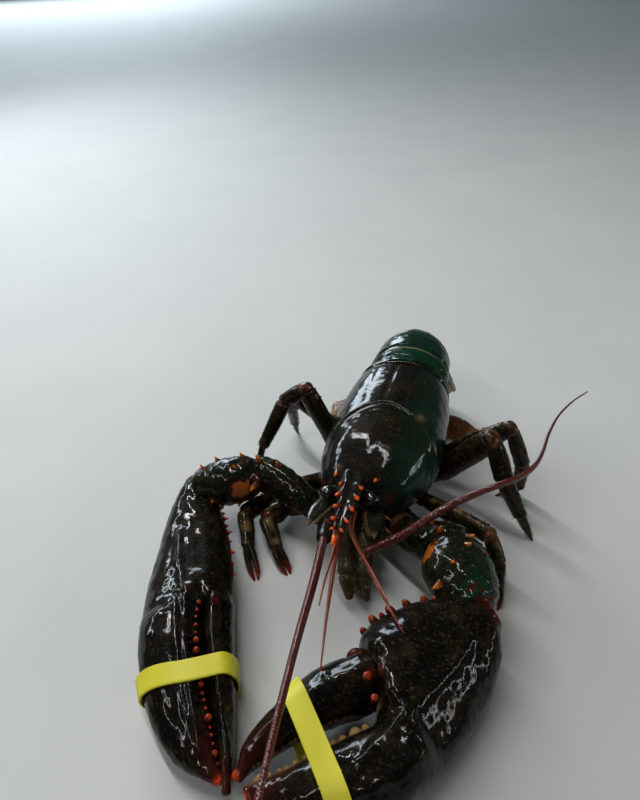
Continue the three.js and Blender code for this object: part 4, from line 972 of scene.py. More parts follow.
# %% The pincher claw
pincher_palm_form = pincher.form(PINCHER_PALM)
palm = rolled("palm", pincher_palm_form, around=112, along=190, cap=8,
              sculpt=hand_sculpt(pincher, PINCHER_RIDGES, PINCHER_LUMPS, 21),
              paint=hand_paint(pincher, (173, 0, 12.5), 23, [(84, -8, 30, 2.2, 0.8)]))
inner_thorns = [
    (pincher.at(s, e, z), pincher.inner + 0.35 * UP + 0.3 * pincher.axis, length, radius, 0.9, 0.1)
    for s, e, z, length, radius in [
        (14, 8.6, 21, 2.4, 1.4), (20, 10.6, 20.5, 3.2, 1.7), (25, 11.8, 20.5, 2.4, 1.3),
        (29, 12.6, 20, 3, 1.6), (35, 13.4, 20, 2, 1.2), (40, 13.9, 19.5, 3.4, 1.8),
        (47, 14.3, 19.5, 2, 1.3), (55, 14.5, 19, 3.2, 1.7), (63, 14.6, 19, 1.8, 1.2),
        (71, 14.4, 19, 2.2, 1.3),
    ]
]
beads = [
    (pincher.at(s, e, z - 0.3), UP + 0.2 * pincher.inner, 1.0 * r, 0.8 * r, 0.74, 0.0)
    for s, e, z, r in [
        (93, -3.6, 29.2, 1.8), (97, -4.6, 29, 1.3), (101, -5.2, 28.8, 1.1), (105.5, -5.6, 28.6, 1.5),
        (109.5, -5.8, 28.2, 1.1), (113.5, -5.8, 27.8, 2.2), (118.6, -5.9, 27.2, 2.3),
        (123.5, -5.6, 26.6, 1.1), (128, -5.4, 26, 1.2), (131.4, -5.1, 25.6, 1.4),
        (135.2, -4.7, 25, 2.0), (139, -4.3, 24.2, 1.1), (142, -3.9, 23.4, 1.3),
        (145.5, -3.3, 22.6, 1.2), (149.6, -2.5, 21.6, 2.4), (153.5, -2, 20.6, 1.0),
        (156.5, -1.7, 19.8, 1.2), (160, -1.2, 19, 1.0), (163.8, -0.8, 18, 2.0), (167.5, 0.2, 16.2, 1.0),
    ]
]
palm = joined("pincher_palm", [
    palm, stand("inner_thorns", THORN, inner_thorns), stand("beads", TOOTH, beads),
])
dress(palm, claw_shell, "claw_shell", "pincher_palm")
finger_form = pincher.form(PINCHER_FINGER, ends=(0.6, 0.9))
finger = rolled("finger", finger_form, around=80, along=130, cap=8,
                sculpt=hand_sculpt(pincher, PINCHER_FINGER_RIDGES, [(92, 5, 29, 3.6, 2.0)], 25),
                paint=hand_paint(pincher, (186, 3, 12), 23, [(94, 5, 30, 2.0, 0.7)]))
dress(joined("pincher_finger", [finger]), claw_shell, "claw_shell", "pincher_finger")

# %% The crusher claw
palm = rolled("palm", crusher.form(CRUSHER_PALM), around=128, along=180, cap=8,
              sculpt=hand_sculpt(crusher, CRUSHER_RIDGES, CRUSHER_LUMPS, 31),
              paint=hand_paint(crusher, (133, -6, 14.5), 33,
                               [(63, -4, 43, 2.2, 0.7), (70, -12, 41, 2.4, 0.7)],
                               gape=[(70, -11), (84, -13.2), (98, -10.6), (115, -7.4), (130, -2.4)]))
inner_knobs = [
    (crusher.at(s, e, z), crusher.inner + 0.5 * UP + 0.2 * crusher.axis, length, radius, 0.72, 0.0)
    for s, e, z, length, radius in [
        (7, 11, 31, 2.4, 1.7), (13, 15.4, 31.5, 2.8, 1.9), (18, 18, 31.5, 3.4, 2.1),
        (27, 21.2, 31.5, 3.6, 2.2), (36, 22.6, 31.5, 4, 2.4), (41, 23, 31, 2.4, 1.6),
        (46, 22.8, 31, 4, 2.3), (53, 21.6, 30, 2.6, 1.9),
    ]
]
molars = bite_row(crusher, CRUSHER_PALM, True, 78, 127, 15, 1.9, 3.2, 0.2, 0.9, 35)
knobs = [(crusher.at(63.5, 14.4, 29), crusher.inner + 0.6 * UP, 3.4, 4.4, 0.5, 0.5),
         (crusher.at(68, -1.5, 38), UP, 2.2, 2.6, 0.72, 0),
         (crusher.at(71.5, -11.6, 39.2), UP, 1.8, 2.0, 0.72, 0.1)]
inner_knobs = stand("inner_knobs", TOOTH, inner_knobs)
palm = joined("crusher_palm", [palm, inner_knobs, stand("molars", TOOTH, molars + knobs[2:])])
dress(palm, claw_shell, "claw_shell", "crusher_palm")
finger = rolled("finger", crusher.form(CRUSHER_FINGER, ends=(0.6, 0.9)), around=88, along=120, cap=8,
                sculpt=hand_sculpt(crusher, CRUSHER_FINGER_RIDGES, [(66, 9, 37, 4, 1.6)], 37),
                paint=hand_paint(crusher, (133, 4, 14.5), 33,
                                 [(66, 0, 38, 2.4, 0.8), (62, 15, 32, 3.4, 0.7)]))
molars = bite_row(crusher, CRUSHER_FINGER, False, 86, 125, 12, 1.5, 2.4, 0.35, 0.5, 39)
finger = joined("crusher_finger", [finger, stand("molars", TOOTH, molars + knobs[:2])])
dress(finger, claw_shell, "claw_shell", "crusher_finger")


# %% [markdown]
# ## Rubber bands
# Each band is a strip of natural rubber pulled over both fingers. It lies flat on what it
# touches and runs straight across the gaps, so it follows the outline of the whole claw.

# %% Band finish and shape
def rubber_finish():
    material, tree, shader = blank("yellow_natural_rubber")
    where = add(tree, "ShaderNodeTexCoord").outputs["Object"]
    cloud = add(tree, "ShaderNodeTexNoise", {"Vector": where, "Scale": 1000 / 14, "Detail": 4})
    grain = add(tree, "ShaderNodeTexNoise", {"Vector": where, "Scale": 1000 / 0.5, "Detail": 2})
    colour = add(tree, "ShaderNodeMix", {0: cloud.outputs[0], 6: sight("#cac22c"), 7: sight("#d4cc3c")},
                 data_type="RGBA")
    tree.links.new(colour.outputs[2], shader.inputs["Base Color"])
    bumps = add(tree, "ShaderNodeBump", {"Height": grain.outputs[0], "Strength": 0.3, "Distance": 0.0001})
    tree.links.new(bumps.outputs[0], shader.inputs["Normal"])
    rough = add(tree, "ShaderNodeMapRange", {0: cloud.outputs[0], 3: 0.35, 4: 0.55})
    tree.links.new(rough.outputs[0], shader.inputs["Roughness"])
    shader.inputs["Subsurface Weight"].default_value = 0.08
    shader.inputs["Subsurface Scale"].default_value = 0.002
    return material


yellow_rubber = rubber_finish()
BAND_WIDTH = 10
BAND_UNDER = 1.1
BAND_THICKNESS = 1.1
BAND_STEPS = 160


def hull(points):
    """The convex hull of flat points, anticlockwise."""
    points = sorted(map(tuple, points))
    sides = []
    for run in (points, points[::-1]):
        chain = []
        for p in run:
            while len(chain) > 1 and ((chain[-1][0] - chain[-2][0]) * (p[1] - chain[-2][1])
                                      - (chain[-1][1] - chain[-2][1]) * (p[0] - chain[-2][0])) <= 0:
                chain.pop()
            chain.append(p)
        sides += chain[:-1]
    return np.array(sides)


def reach_of(corners, centre, angles):
    """How far the outline lies from its centre in each direction."""
    ahead = np.roll(corners, -1, axis=0)
    edge = ahead - corners
    normal = np.stack([edge[:, 1], -edge[:, 0]], 1)
    normal = normal / np.linalg.norm(normal, axis=1, keepdims=True)
    distance = ((corners - centre) * normal).sum(1)
    ways = np.stack([np.cos(angles), np.sin(angles)], 1)
    facing = ways @ normal.T
    return np.where(facing > 1e-6, distance / np.maximum(facing, 1e-6), 1e9).min(1)


def band(name, claw, fingers, middle, skew, bow):
    """A closed strip stretched round both fingers, straight where it crosses a gap."""
    points = []
    for rows in fingers:
        form = claw.form(rows)
        span = np.linspace(0, len(rows) - 1, 900)
        points.append(form.rings(span, 2 * math.pi * np.arange(72) / 72).reshape(-1, 3))
    points = np.concatenate(points)
    s, e = claw.plan(points)
    half = BAND_WIDTH / 2
    angles = 2 * math.pi * np.arange(BAND_STEPS) / BAND_STEPS

    def lean(e):
        return middle + skew * e / 90 + bow * np.exp(-((e + 12) / 16) ** 2)

    edges = []
    for w in (-half, half):
        near = np.abs(s - lean(e) - w) < 1.0
        edges.append(hull(np.stack([e[near], points[near, 2]], 1)))
    centre = (edges[0].mean(0) + edges[1].mean(0)) / 2
    reaches = [reach_of(corners, centre, angles) for corners in edges]
    top = BAND_UNDER + BAND_THICKNESS
    section = [(-half, BAND_UNDER), (-half, top - 0.3), (-half + 0.3, top)]
    section += [(w, top) for w in np.linspace(-half + 1, half - 1, 9)]
    section += [(half - 0.3, top), (half, top - 0.3), (half, BAND_UNDER), (0, BAND_UNDER)]
    place = np.zeros((len(section) + 1, BAND_STEPS, 3))
    for k, (w, grow) in enumerate(section + section[:1]):
        reach = mix(*reaches, (w + half) / BAND_WIDTH) + grow
        flat_e = centre[0] + reach * np.cos(angles)
        flat_z = centre[1] + reach * np.sin(angles)
        place[k] = [claw.at(*spot) for spot in zip(lean(flat_e) + w, flat_e, flat_z)]
    piece = roll_up(name, place)[0]
    tidy(piece)
    bpy.ops.object.shade_smooth_by_angle(angle=math.radians(40))
    dress(piece, yellow_rubber, "rubber_band", name)


band("band_pincher", pincher, (PINCHER_PALM, PINCHER_FINGER), 127, 0, 2)
band("band_crusher", crusher, (CRUSHER_PALM, CRUSHER_FINGER), 99.5, -14, 0)

# %% [markdown]
# ## Arms
# Between the chest and each claw stand a hip, an upper arm and a wrist joint. They are stout
# spiny tubes, flared where they meet, with soft orange skin showing in the joints.

# %% Arm segments
ARMS = {
    "pincher_hip": ([[-6, -34, 18, 7, 7], [-15, -42, 20, 7.5, 8], [-22, -50, 24, 8, 9]], [], leg_shell,
                    "leg_shell"),
    "pincher_upper_arm": ([
        [-22, -50, 24, 7, 8, 7], [-32, -48, 28, 8.5, 10, 9], [-47, -43.5, 31.5, 9.5, 12.5, 11],
        [-59, -41, 32.5, 9.5, 13, 12], [-65, -41, 32.5, 8, 11]],
        [[1.2, 215, 3, 1.6], [1.8, 220, 3.6, 1.8], [2.4, 222, 4.2, 2], [3.0, 225, 4.6, 2.1],
         [3.3, 80, 5.5, 2.2], [2.3, 95, 3, 1.6]],
        arm_shell, "claw_shell"),
    "pincher_wrist": ([
        [-62, -43, 32.5, 9, 10], [-69, -46, 32, 13, 14], [-80, -52, 30.5, 14.5, 15],
        [-90, -56, 28.5, 12, 12.5], [-98, -57, 26.5, 8, 8.5]],
        [[0.9, 215, 5, 2.4], [1.5, 222, 4.2, 2], [2.2, 228, 4, 1.9], [1.06, 116, 3, 1.7],
         [1.42, 72, 3.2, 1.7],
         [2.28, 120, 3, 1.6], [3.2, 104, 3, 1.7], [1.6, 330, 3.2, 1.7], [2.4, 330, 3, 1.6],
         [2.68, 356, 2.6, 1.5], [0.35, 10, 5.4, 2.6]],
        arm_shell, "claw_shell"),
    "crusher_hip": ([[15, -34, 18, 7.5, 7.5], [24, -42, 21, 8, 8.5], [31, -50, 25, 8.5, 9]], [],
                    leg_shell, "leg_shell"),
    "crusher_upper_arm": ([
        [31, -50, 24, 8, 9], [40, -54, 26.5, 10, 11.5, 11], [51, -58, 29.5, 11.5, 13, 12],
        [60, -60, 32, 12, 14, 13], [66, -62, 33, 10, 12]],
        [[1.2, 330, 3, 1.6], [1.8, 325, 3.6, 1.8], [2.4, 320, 4.4, 2], [3.1, 318, 5, 2.3],
         [2.7, 105, 6, 2.4], [2.0, 85, 3, 1.6]],
        arm_shell, "claw_shell"),
    "crusher_wrist": ([
        [59, -62, 33, 11, 11.5], [62.5, -68, 34, 16.5, 15], [67.5, -78, 34, 18.5, 16.5],
        [74.5, -88, 32.5, 16, 14.5], [80, -95, 31, 10.5, 11]],
        [[0.8, 345, 5, 2.6], [1.5, 340, 4, 2], [2.3, 335, 4.6, 2.2], [1.0, 60, 3.6, 1.9],
         [1.6, 75, 3.6, 2], [2.6, 150, 6.5, 2.6], [3.1, 170, 5, 2.2], [2.2, 110, 3, 1.7]],
        arm_shell, "claw_shell"),
}
ARM_PATCHES = {
    "pincher_wrist": [(-66, -60, 35, 7.5, 0.72), (-95, -57, 34, 3.6, 0.5), (-60, -50, 38, 3.5, 0.6)],
    "crusher_wrist": [(52, -76, 40, 7, 0.72), (77, -92, 40, 6, 0.5), (58, -64, 42, 4, 0.6)],
    "pincher_upper_arm": [(-62, -46, 38, 4, 0.5)],
    "crusher_upper_arm": [(40, -56, 36, 4, 0.45)],
}
for number, (name, (rows, thorns, finish, slot_name)) in enumerate(ARMS.items()):
    form = Form(rows, ends=(0.4, 0.35))
    last = len(rows) - 1

    def arm_sculpt(place, out, t, angle):
        flare = 0.9 * np.exp(-((t - last + 0.35) / 0.22) ** 2)
        flare = flare - 0.8 * np.exp(-((t - last + 0.02) / 0.1) ** 2)
        uneven = 0.3 * ripple(place, 8, 40 + number) + 0.12 * ripple(place, 3.2, 50 + number)
        return flare[:, None] + uneven

    def arm_paint(place, out, t, angle):
        rim = np.maximum(0.5 * np.exp(-((t - last) / 0.16) ** 2), 0.4 * np.exp(-(t / 0.16) ** 2))
        rim = rim[:, None] * np.ones(len(angle))
        for x, y, z, radius, strength in ARM_PATCHES.get(name, []):
            patch = hill(place, (x, y, z), radius) + 0.2 * ripple(place, 4, 65)
            rim = np.maximum(rim, strength * step(patch, 0.3, 0.55))
        blotch = 0.5 * step(ripple(place, 16, 60 + number), 0.5, 1.3) * step(-out[..., 2] + 0.5, 0, 0.8)
        return rim, blotch

    segment = rolled(name, form, around=64, along=72, cap=7, sculpt=arm_sculpt, paint=arm_paint)
    parts = [segment]
    if thorns:
        draw = np.random.default_rng(70 + number)
        ranges = [(0.6, last - 0.3), (20, 160), (0.7, 1.3), (0.7, 1.1)]
        small = [[draw.uniform(*limits) for limits in ranges] for _ in range(9)]
        places = spines_on(form, thorns, warm=0.9, pale=0.3) + spines_on(form, small, warm=0.7)
        parts.append(stand("thorns", THORN, places))
    dress(joined(name, parts), finish, slot_name, name)

# %% [markdown]
# ## Mouth
# Folded under the feelers lie the outermost jaw legs, like a pair of hairy hands, and a smaller
# pair between them. They are short tubes with tight joints and rows of stiff bristles.

# %% Jaw legs
JAW_LEGS = {
    "left": [[10, -46, 22, 5, 5.5], [12.6, -58, 24, 5.2, 6], [15.2, -72, 23, 4.8, 5.6],
             [18, -83, 17, 4.4, 5], [21.5, -89.5, 8, 2.4, 2.8]],
    "right": [[-1, -46, 21, 5, 5.5], [1.4, -58, 23, 5.2, 6], [5, -74, 22.5, 4.8, 5.6],
              [8.6, -86, 18, 4.4, 5], [12.8, -93, 10, 2.4, 2.8]],
}


def fringe(form, rows, degrees, count, length, radius, lean, seed, pale=0.15, spread=0.2):
    """Bristles in rows along a form, leaning forward and a little uneven."""
    draw = np.random.default_rng(seed)
    places = []
    for k in range(count):
        t = rows[0] + (rows[1] - rows[0]) * (k + draw.uniform(-0.3, 0.3)) / count
        foot, way, ahead = form.place(t, degrees[k % len(degrees)] + draw.uniform(-7, 7))
        lie = way + lean * ahead + spread * draw.normal(size=3)
        places.append((foot - 0.1 * way, lie, length * draw.uniform(0.7, 1.2), radius, 0.1, pale))
    return places


for side, rows in JAW_LEGS.items():
    form = Form(rows, ends=(0.4, 0.8))
    jaw = rolled("jaw_leg", form, around=36, along=80, sculpt=knuckled([1.0, 2.0, 3.0], depth=0.9),
                 paint=joint_paint([1, 2, 3, 4], width=0.2, strength=0.25))
    inner = 180 if side == "left" else 0
    hairs = fringe(form, (0.6, 3.9), (inner, inner + 25, inner - 25, inner + 50), 260, 4.2, 0.17, 0.7, 81)
    inside = [[2.6 + 0.35 * x, 0.96 * y, z - 1.5, 0.55 * wide, 0.6 * high] for x, y, z, wide,
              high in rows[:4]]
    palp = rolled("palp", Form(inside, ends=(0.4, 0.8)), around=24, along=36,
                  sculpt=knuckled([1.0, 2.0], depth=0.6))
    whole = joined("jaw_leg_" + side, [jaw, palp, stand("hairs", BRISTLE, hairs)])
    dress(whole, mouth_shell, "mouth", "jaw_leg_" + side)

# %% [markdown]
# ## Walking legs
# Four pairs of legs carry the animal. The first two pairs end in small pincers and the last two
# in single claws. Each leg is two tubes that meet at the knee, with softer, paler skin at every
# joint and tufts of bristles near the tip, by which the animal tastes what it walks on.

# %% Leg places
LEGS = {
    "left_2": dict(hip=(17, -22, 16), bend=(30, -28, 13), knee=(50, -45, 12), wrist=(62, -62, 9),
                   ankle=(69, -75, 5), tip=(74, -86, 0.2), size=0.8, toes=2),
    "left_3": dict(hip=(18, -6, 17), bend=(39, -23, 25), knee=(79, -44, 31), wrist=(85.5, -51.5, 19),
                   ankle=(88, -59, 8.5), tip=(89, -68, 0.2), size=0.95, toes=2),
    "left_4": dict(hip=(19, 8, 17), bend=(40, 7, 22), knee=(70, 2, 62), wrist=(80.5, -4.5, 38),
                   ankle=(94, -8.5, 15), tip=(103, -10.5, 0), size=1.15, toes=1),
    "left_5": dict(hip=(18, 22, 19), bend=(38, 21, 25), knee=(79, 18, 60), wrist=(89, 20, 32),
                   ankle=(90, 24, 9), tip=(77, 21, 0.2), size=0.95, toes=1),
    "right_2": dict(hip=(-8, -22, 16), bend=(-22, -29, 13), knee=(-45, -44, 12), wrist=(-50, -60, 15),
                    ankle=(-39, -74, 8), tip=(-28, -83, 0), size=1.15, toes=2),
    "right_3": dict(hip=(-8, -6, 17), bend=(-24, -10, 14), knee=(-58, -38, 13), wrist=(-65, -60, 14.5),
                    ankle=(-55, -79, 8.5), tip=(-44, -93, 0), size=1.12, toes=2),
    "right_4": dict(hip=(-8, 8, 17), bend=(-28, 9, 22), knee=(-52, 11, 66), wrist=(-66, 8, 52),
                    ankle=(-77, -8, 24), tip=(-80, -18, 0), size=1.05, toes=1),
    "right_5": dict(hip=(-8, 22, 19), bend=(-27, 22, 25), knee=(-59, 17, 50), wrist=(-67, 22, 38),
                    ankle=(-71, 34, 14), tip=(-72, 41, 0), size=0.85, toes=1),
}


def upper_leg(plan):
    size = plan["size"]
    bend, knee = plan["bend"], plan["knee"]
    return Form([
        [*plan["hip"], 4.5 * size, 4.5 * size], [*bend, 4.6 * size, 5.2 * size],
        [*mix(bend, knee, 0.35), 4.4 * size, 6.5 * size], [*mix(bend, knee, 0.8), 4.6 * size, 6.6 * size],
        [*knee, 4.6 * size, 5.4 * size],
    ], ends=(0.4, 0.7))


def lower_leg(plan):
    size = plan["size"]
    knee, wrist, ankle = plan["knee"], plan["wrist"], plan["ankle"]
    outer = unit(np.array([knee[0] - plan["bend"][0], knee[1] - plan["bend"][1], 0.0])) + 0.6 * UP
    return Form([
        [*mix(knee, wrist, 0.12), 4 * size, 4.2 * size], [*mix(knee, wrist, 0.5), 4.4 * size, 5.2 * size],
        [*wrist, 4.3 * size, 4.9 * size], [*mix(wrist, ankle, 0.5), 3.3 * size, 4.4 * size],
        [*ankle, 2.8 * size, 3.4 * size],
    ], up=unit(outer), ends=(0.7, 0.4))


def toe(plan, spread):
    size = plan["size"]
    ankle, tip = np.array(plan["ankle"], float), np.array(plan["tip"], float)
    across = np.cross(unit(np.array([tip[0] - ankle[0], tip[1] - ankle[1], 0.0])), UP) * spread
    return Form([
        [*(mix(ankle, tip, -0.1) + 0.6 * across), 1.9 * size, 2.7 * size],
        [*(mix(ankle, tip, 0.3) + 1.2 * across), 1.75 * size, 2.5 * size],
        [*(mix(ankle, tip, 0.65) + 1.3 * across), 1.3 * size, 1.7 * size],
        [*(tip + 0.7 * across), 0.6 * size, 0.7 * size],
    ], ends=(0.4, 0.9))


def leg_paint(joints, width=0.1, strength=0.7):
    """Pinkish skin at the joints, over a paler strip along the back of the limb."""
    def paint(place, out, t, angle):
        near = sum(strength * np.exp(-((t - j) / width) ** 2) for j in joints)[:, None]
        patchy = np.clip(near * (0.35 + 0.8 * ripple(place, 5, 61)), 0, 1)
        stripe = 0.35 * step(np.abs(out[..., 2]), 0.55, 0.95) * step(ripple(place, 9, 62), -0.2, 0.9)
        return patchy, np.maximum(0.15 * patchy, stripe)
    return paint


def toe_paint(pincer):
    def paint(place, out, t, angle):
        tip = step(t, 1.0, 2.6)[:, None] * np.ones(len(angle))
        return tip * (0.85 if pincer else 0.3), 0 * tip
    return paint


# %% Legs
for number, (name, plan) in enumerate(LEGS.items()):
    finish = pincer_leg_shell if plan["toes"] == 2 else leg_shell
    upper_form = upper_leg(plan)
    upper = rolled("upper", upper_form, around=36, along=72, cap=6,
                   sculpt=knuckled([0.45, 1.0, 3.72], depth=0.7, width=0.07),
                   paint=leg_paint([0.45, 1.0, 4.0]))
    prickles = [[2.4 + 0.3 * k, 90 + 24 * (-1) ** k, 1.0, 0.6] for k in range(5)]
    prickles = stand("prickles", THORN, spines_on(upper_form, prickles, warm=0.6))
    dress(joined(f"leg_{name}_upper", [upper, prickles]), leg_shell, "leg_shell", f"leg_{name}_upper")
    lower_form = lower_leg(plan)
    lower = rolled("lower", lower_form, around=36, along=90, cap=6,
                   sculpt=knuckled([2.0, 4.0], depth=0.7, width=0.07),
                   paint=leg_paint([-0.1, 2.0, 4.1], width=0.2))
    parts = [lower]
    hairs = fringe(lower_form, (2.5, 4.0), (60, 120, 240, 300), 70, 1.8 * plan["size"], 0.14, 0.8,
                   90 + number)
    for spread in ((1.6, -1.6) if plan["toes"] == 2 else (0,)):
        toe_form = toe(plan, spread)
        parts.append(rolled("toe", toe_form, around=20, along=30, paint=toe_paint(plan["toes"] == 2)))
        hairs += fringe(toe_form, (0.3, 2.5), (40, 90, 140, 220, 270, 320), 90, 1.7 * plan["size"],
                        0.13, 0.9, 110 + number)
    parts.append(stand("hairs", BRISTLE, hairs))
    dress(joined(f"leg_{name}_lower", parts), finish, "leg_shell", f"leg_{name}_lower")

# %% [markdown]
# ## Tail
# Six rings slide into each other like the sections of a sleeve. Each has a smooth front that goes
# under the ring before it, a thick pale rear rim, and a pointed side plate hanging at each side.
# All six are read off one arch, so they bend together, as the tail of a resting animal curls.

# %% Rings
ARCH = [
    [LEAN, 50, 51.5, 28, 20.5, 14, -BODY_ROLL], [LEAN - 0.4, 62, 54.5, 27.5, 22, 15, -BODY_ROLL],
    [LEAN - 1, 76, 54.5, 26, 23.5, 15, -BODY_ROLL * 0.8],
    [LEAN - 2, 88, 50, 24.5, 23, 14, -BODY_ROLL * 0.6],
    [LEAN - 3, 96, 41, 23.5, 20.5, 12, -BODY_ROLL * 0.4],
    [LEAN - 4, 98, 30.5, 22.5, 17, 10.5, -BODY_ROLL * 0.2],
    [LEAN - 5, 91, 20.5, 21.5, 14, 9, 0], [LEAN - 6, 80, 12.5, 19, 11, 7.5, 0],
    [LEAN - 6.5, 68, 8.2, 15, 8, 5.5, 0],
]
TAIL_JOINTS = [0.4, 1.12, 2.35, 3.5, 4.6, 5.7, 7.15]
OVERLAP = 0.07


def ring_form(number):
    start, stop = TAIL_JOINTS[number - 1], TAIL_JOINTS[number]
    span = (start + 0.03, stop + (OVERLAP if number < 6 else 0))
    return Form(ARCH, side=(-1, 0, 0), square=1.85, ends=(0, 0), span=span)


def ring_sculpt(number):
    start, stop = TAIL_JOINTS[number - 1], TAIL_JOINTS[number]

    def sculpt(place, out, t, angle):
        f = (t - start) / (stop - start)
        front = -1.0 + 1.1 * step(f, 0.2, 0.27)
        crease = -0.15 * np.exp(-((f - 0.55) / 0.03) ** 2)
        rim = 0.5 * step(f, 0.3, 1.0) - 0.35 * np.exp(-((f - 0.9) / 0.02) ** 2)
        lip = -0.5 * step(f, 1.02, 1.07)
        uneven = 0.12 * ripple(place, 7, 120 + number) + 0.06 * ripple(place, 3, 130)
        return (front + crease + rim + lip)[:, None] + uneven
    return sculpt


def ring_paint(number):
    start, stop = TAIL_JOINTS[number - 1], TAIL_JOINTS[number]

    def paint(place, out, t, angle):
        f = (t - start) / (stop - start)
        edge = step(f, 0.96, 1.0)[:, None] * np.ones(len(angle))
        low = step(0.15 - np.sin(angle), 0, 0.35)[None, :] * np.ones((len(t), 1))
        return 0.4 * low * (1 - edge), np.maximum(0.45 * edge, 0.35 * low)
    return paint


SIDE_PLATES = [0, 10, 16.5, 16.5, 15, 12, 7]
PLATE_ANGLES = (-20, 200)


PLATE_OUTLINE = [         # share of the reach, half width, sweep to the rear, half thickness
    (-0.3, 0.42, 0, 1.3), (0.15, 0.46, 0.05, 1.6), (0.5, 0.39, 0.12, 1.5), (0.82, 0.24, 0.24, 1.2),
    (1.0, 0.08, 0.34, 0.8),
]


def plate_sculpt(place, out, t, angle):
    return 0.1 * ripple(place, 5, 140) + 0.25 * np.exp(-((t[:, None] - 2.2) / 0.8) ** 2)


def plate_paint(place, out, t, angle):
    flat = np.ones(len(angle))
    return 0.3 * step(t, 2, 4)[:, None] * flat, 0.45 * step(t, 0.8, 3)[:, None] * flat


def side_plate(form, number, degrees):
    """A flat pointed plate that hangs beside the ring and sweeps to the rear."""
    start, stop = TAIL_JOINTS[number - 1], TAIL_JOINTS[number]
    middle = (start + stop) / 2
    _, forward, _, above = form.frames(middle)
    foot, way, _ = form.place(middle, degrees)
    long = np.linalg.norm(np.diff(through(ARCH, np.array([start, stop]))[:, :3], axis=0))
    down = unit(-above[0] + 0.48 * way)
    rows = []
    for f, half, back, thick in PLATE_OUTLINE:
        spot = foot - 1.6 * way + down * SIDE_PLATES[number] * f + forward[0] * long * back
        rows.append([*spot, half * long, thick])
    plate = Form(rows, side=forward[0], square=2.3, ends=(0.1, 0.8))
    return rolled("plate", plate, around=40, along=30, sculpt=plate_sculpt, paint=plate_paint)


LEAF_OUTLINE = [(0, 1.6, 1.3), (0.3, 1.7, 1.1), (0.5, 3.2, 0.8), (0.8, 3.2, 0.7), (1, 1.2, 0.6)]


def swimmeret(form, number, side, blade):
    """One blade of a swimming leg under the tail, with its root."""
    middle = sum(TAIL_JOINTS[number - 1:number + 1]) / 2
    row, forward, across, above = form.frames(middle)
    root = row[0, :3] - above[0] * (row[0, 5] - 1) + across[0] * side * (14 + 2 * blade)
    lie = unit(-0.8 * above[0] - 0.5 * forward[0] + across[0] * side * (0.1 + 0.25 * blade))
    rows = [[*(root + lie * 9.5 * f), half, thick] for f, half, thick in LEAF_OUTLINE]
    leaf = Form(rows, side=across[0], ends=(0.4, 0.8))
    hairs = []
    for t in np.linspace(2, 3.9, 14):
        for degrees in (0, 180):
            foot, way, ahead = leaf.place(t, degrees)
            hairs.append((foot - 0.1 * way, way + 0.8 * ahead, 2.2, 0.13, 0.1, 0.5))
    return [rolled("leaf", leaf, around=20, along=20), stand("hairs", BRISTLE, hairs)]


for number in range(1, 7):
    form = ring_form(number)
    parts = [rolled("ring", form, around=128, along=64, cap=8, sculpt=ring_sculpt(number),
                    paint=ring_paint(number))]
    parts += [side_plate(form, number, degrees) for degrees in PLATE_ANGLES]
    if 2 <= number <= 5:
        for side in (-1, 1):
            for blade in (0, 1):
                parts += swimmeret(form, number, side, blade)
    dress(joined(f"tail_ring_{number}", parts), tail_shell, "tail_shell", f"tail_ring_{number}")

# %% [markdown]
# ## Tail fan
# The middle plate and a pair of blades at each side open like a fan. They are thin, stiffened by
# ridges that run out to a soft edge, and that edge carries a fringe of fine bristles.

# %% Fan blades
FAN_MIDDLE = -1.6
TELSON = [[FAN_MIDDLE, 66.5, 6.4, 11, 3.2], [FAN_MIDDLE, 58, 3.9, 12, 2.2],
          [FAN_MIDDLE, 47, 2, 11.5, 1.7],
          [FAN_MIDDLE, 38, 1.2, 8.5, 1.3]]
FANS = {
    "inner": [[10.6, 71.5, 6, 3.2, 2.4], [18.6, 65, 4.6, 8, 2], [27.6, 57, 2.6, 10.5, 1.7],
              [35.6, 49, 1.2, 7, 1.3]],
    "outer": [[13.6, 79.5, 7.2, 3.4, 2.6], [25.6, 80.5, 6, 9, 2.2], [39.6, 80, 3.6, 12.5, 1.9],
              [52.6, 76.5, 1.4, 9.5, 1.4]],
}


def blade_sculpt(suture):
    def sculpt(place, out, t, angle):
        rib = 0.4 * np.exp(-((angle - math.pi / 2) / 0.12) ** 2)[None, :] * step(3.2 - t, 0, 1.5)[:, None]
        fine = 0.14 * np.cos(26 * np.cos(angle)) * step(t, 0.8, 1.6)[:, None]
        fine = fine * step(np.abs(out[..., 2]), 0.5, 0.9)
        cut = -0.5 * np.exp(-((t - 2.15) / 0.05) ** 2)[:, None] * suture
        return rib + fine + cut + 0.05 * ripple(place, 5, 150)
    return sculpt


def blade_paint(place, out, t, angle):
    edge = step(t, 2.6, 3.0)[:, None] * np.ones(len(angle))
    return 0.25 * edge, 0.3 * edge


def fan_blade(name, rows, nose, suture, seed):
    form = Form(rows, square=2.2, ends=nose)
    blade = rolled("blade", form, around=96, along=72, cap=10, sculpt=blade_sculpt(suture),
                   paint=blade_paint)
    end = form.rows[-1]
    _, forward, across, _ = form.frames(len(rows) - 1.0)
    draw = np.random.default_rng(seed)
    hairs = []
    for turn in np.linspace(-1.45, 1.45, 120):
        foot = end[:3] + 0.97 * end[3] * math.sin(turn) * across[0]
        foot = foot + 0.9 * nose[1] * end[4] * math.cos(turn) * forward[0]
        way = forward[0] * math.cos(turn * 0.8) + across[0] * math.sin(turn * 0.8)
        way = way + 0.06 * draw.normal(size=3)
        hairs.append((foot, way, draw.uniform(1.6, 2.4), 0.16, 0.3, 0.6))
    dress(joined(name, [blade, stand("fringe", BRISTLE, hairs)]), fan_shell, "tail_fan", name)


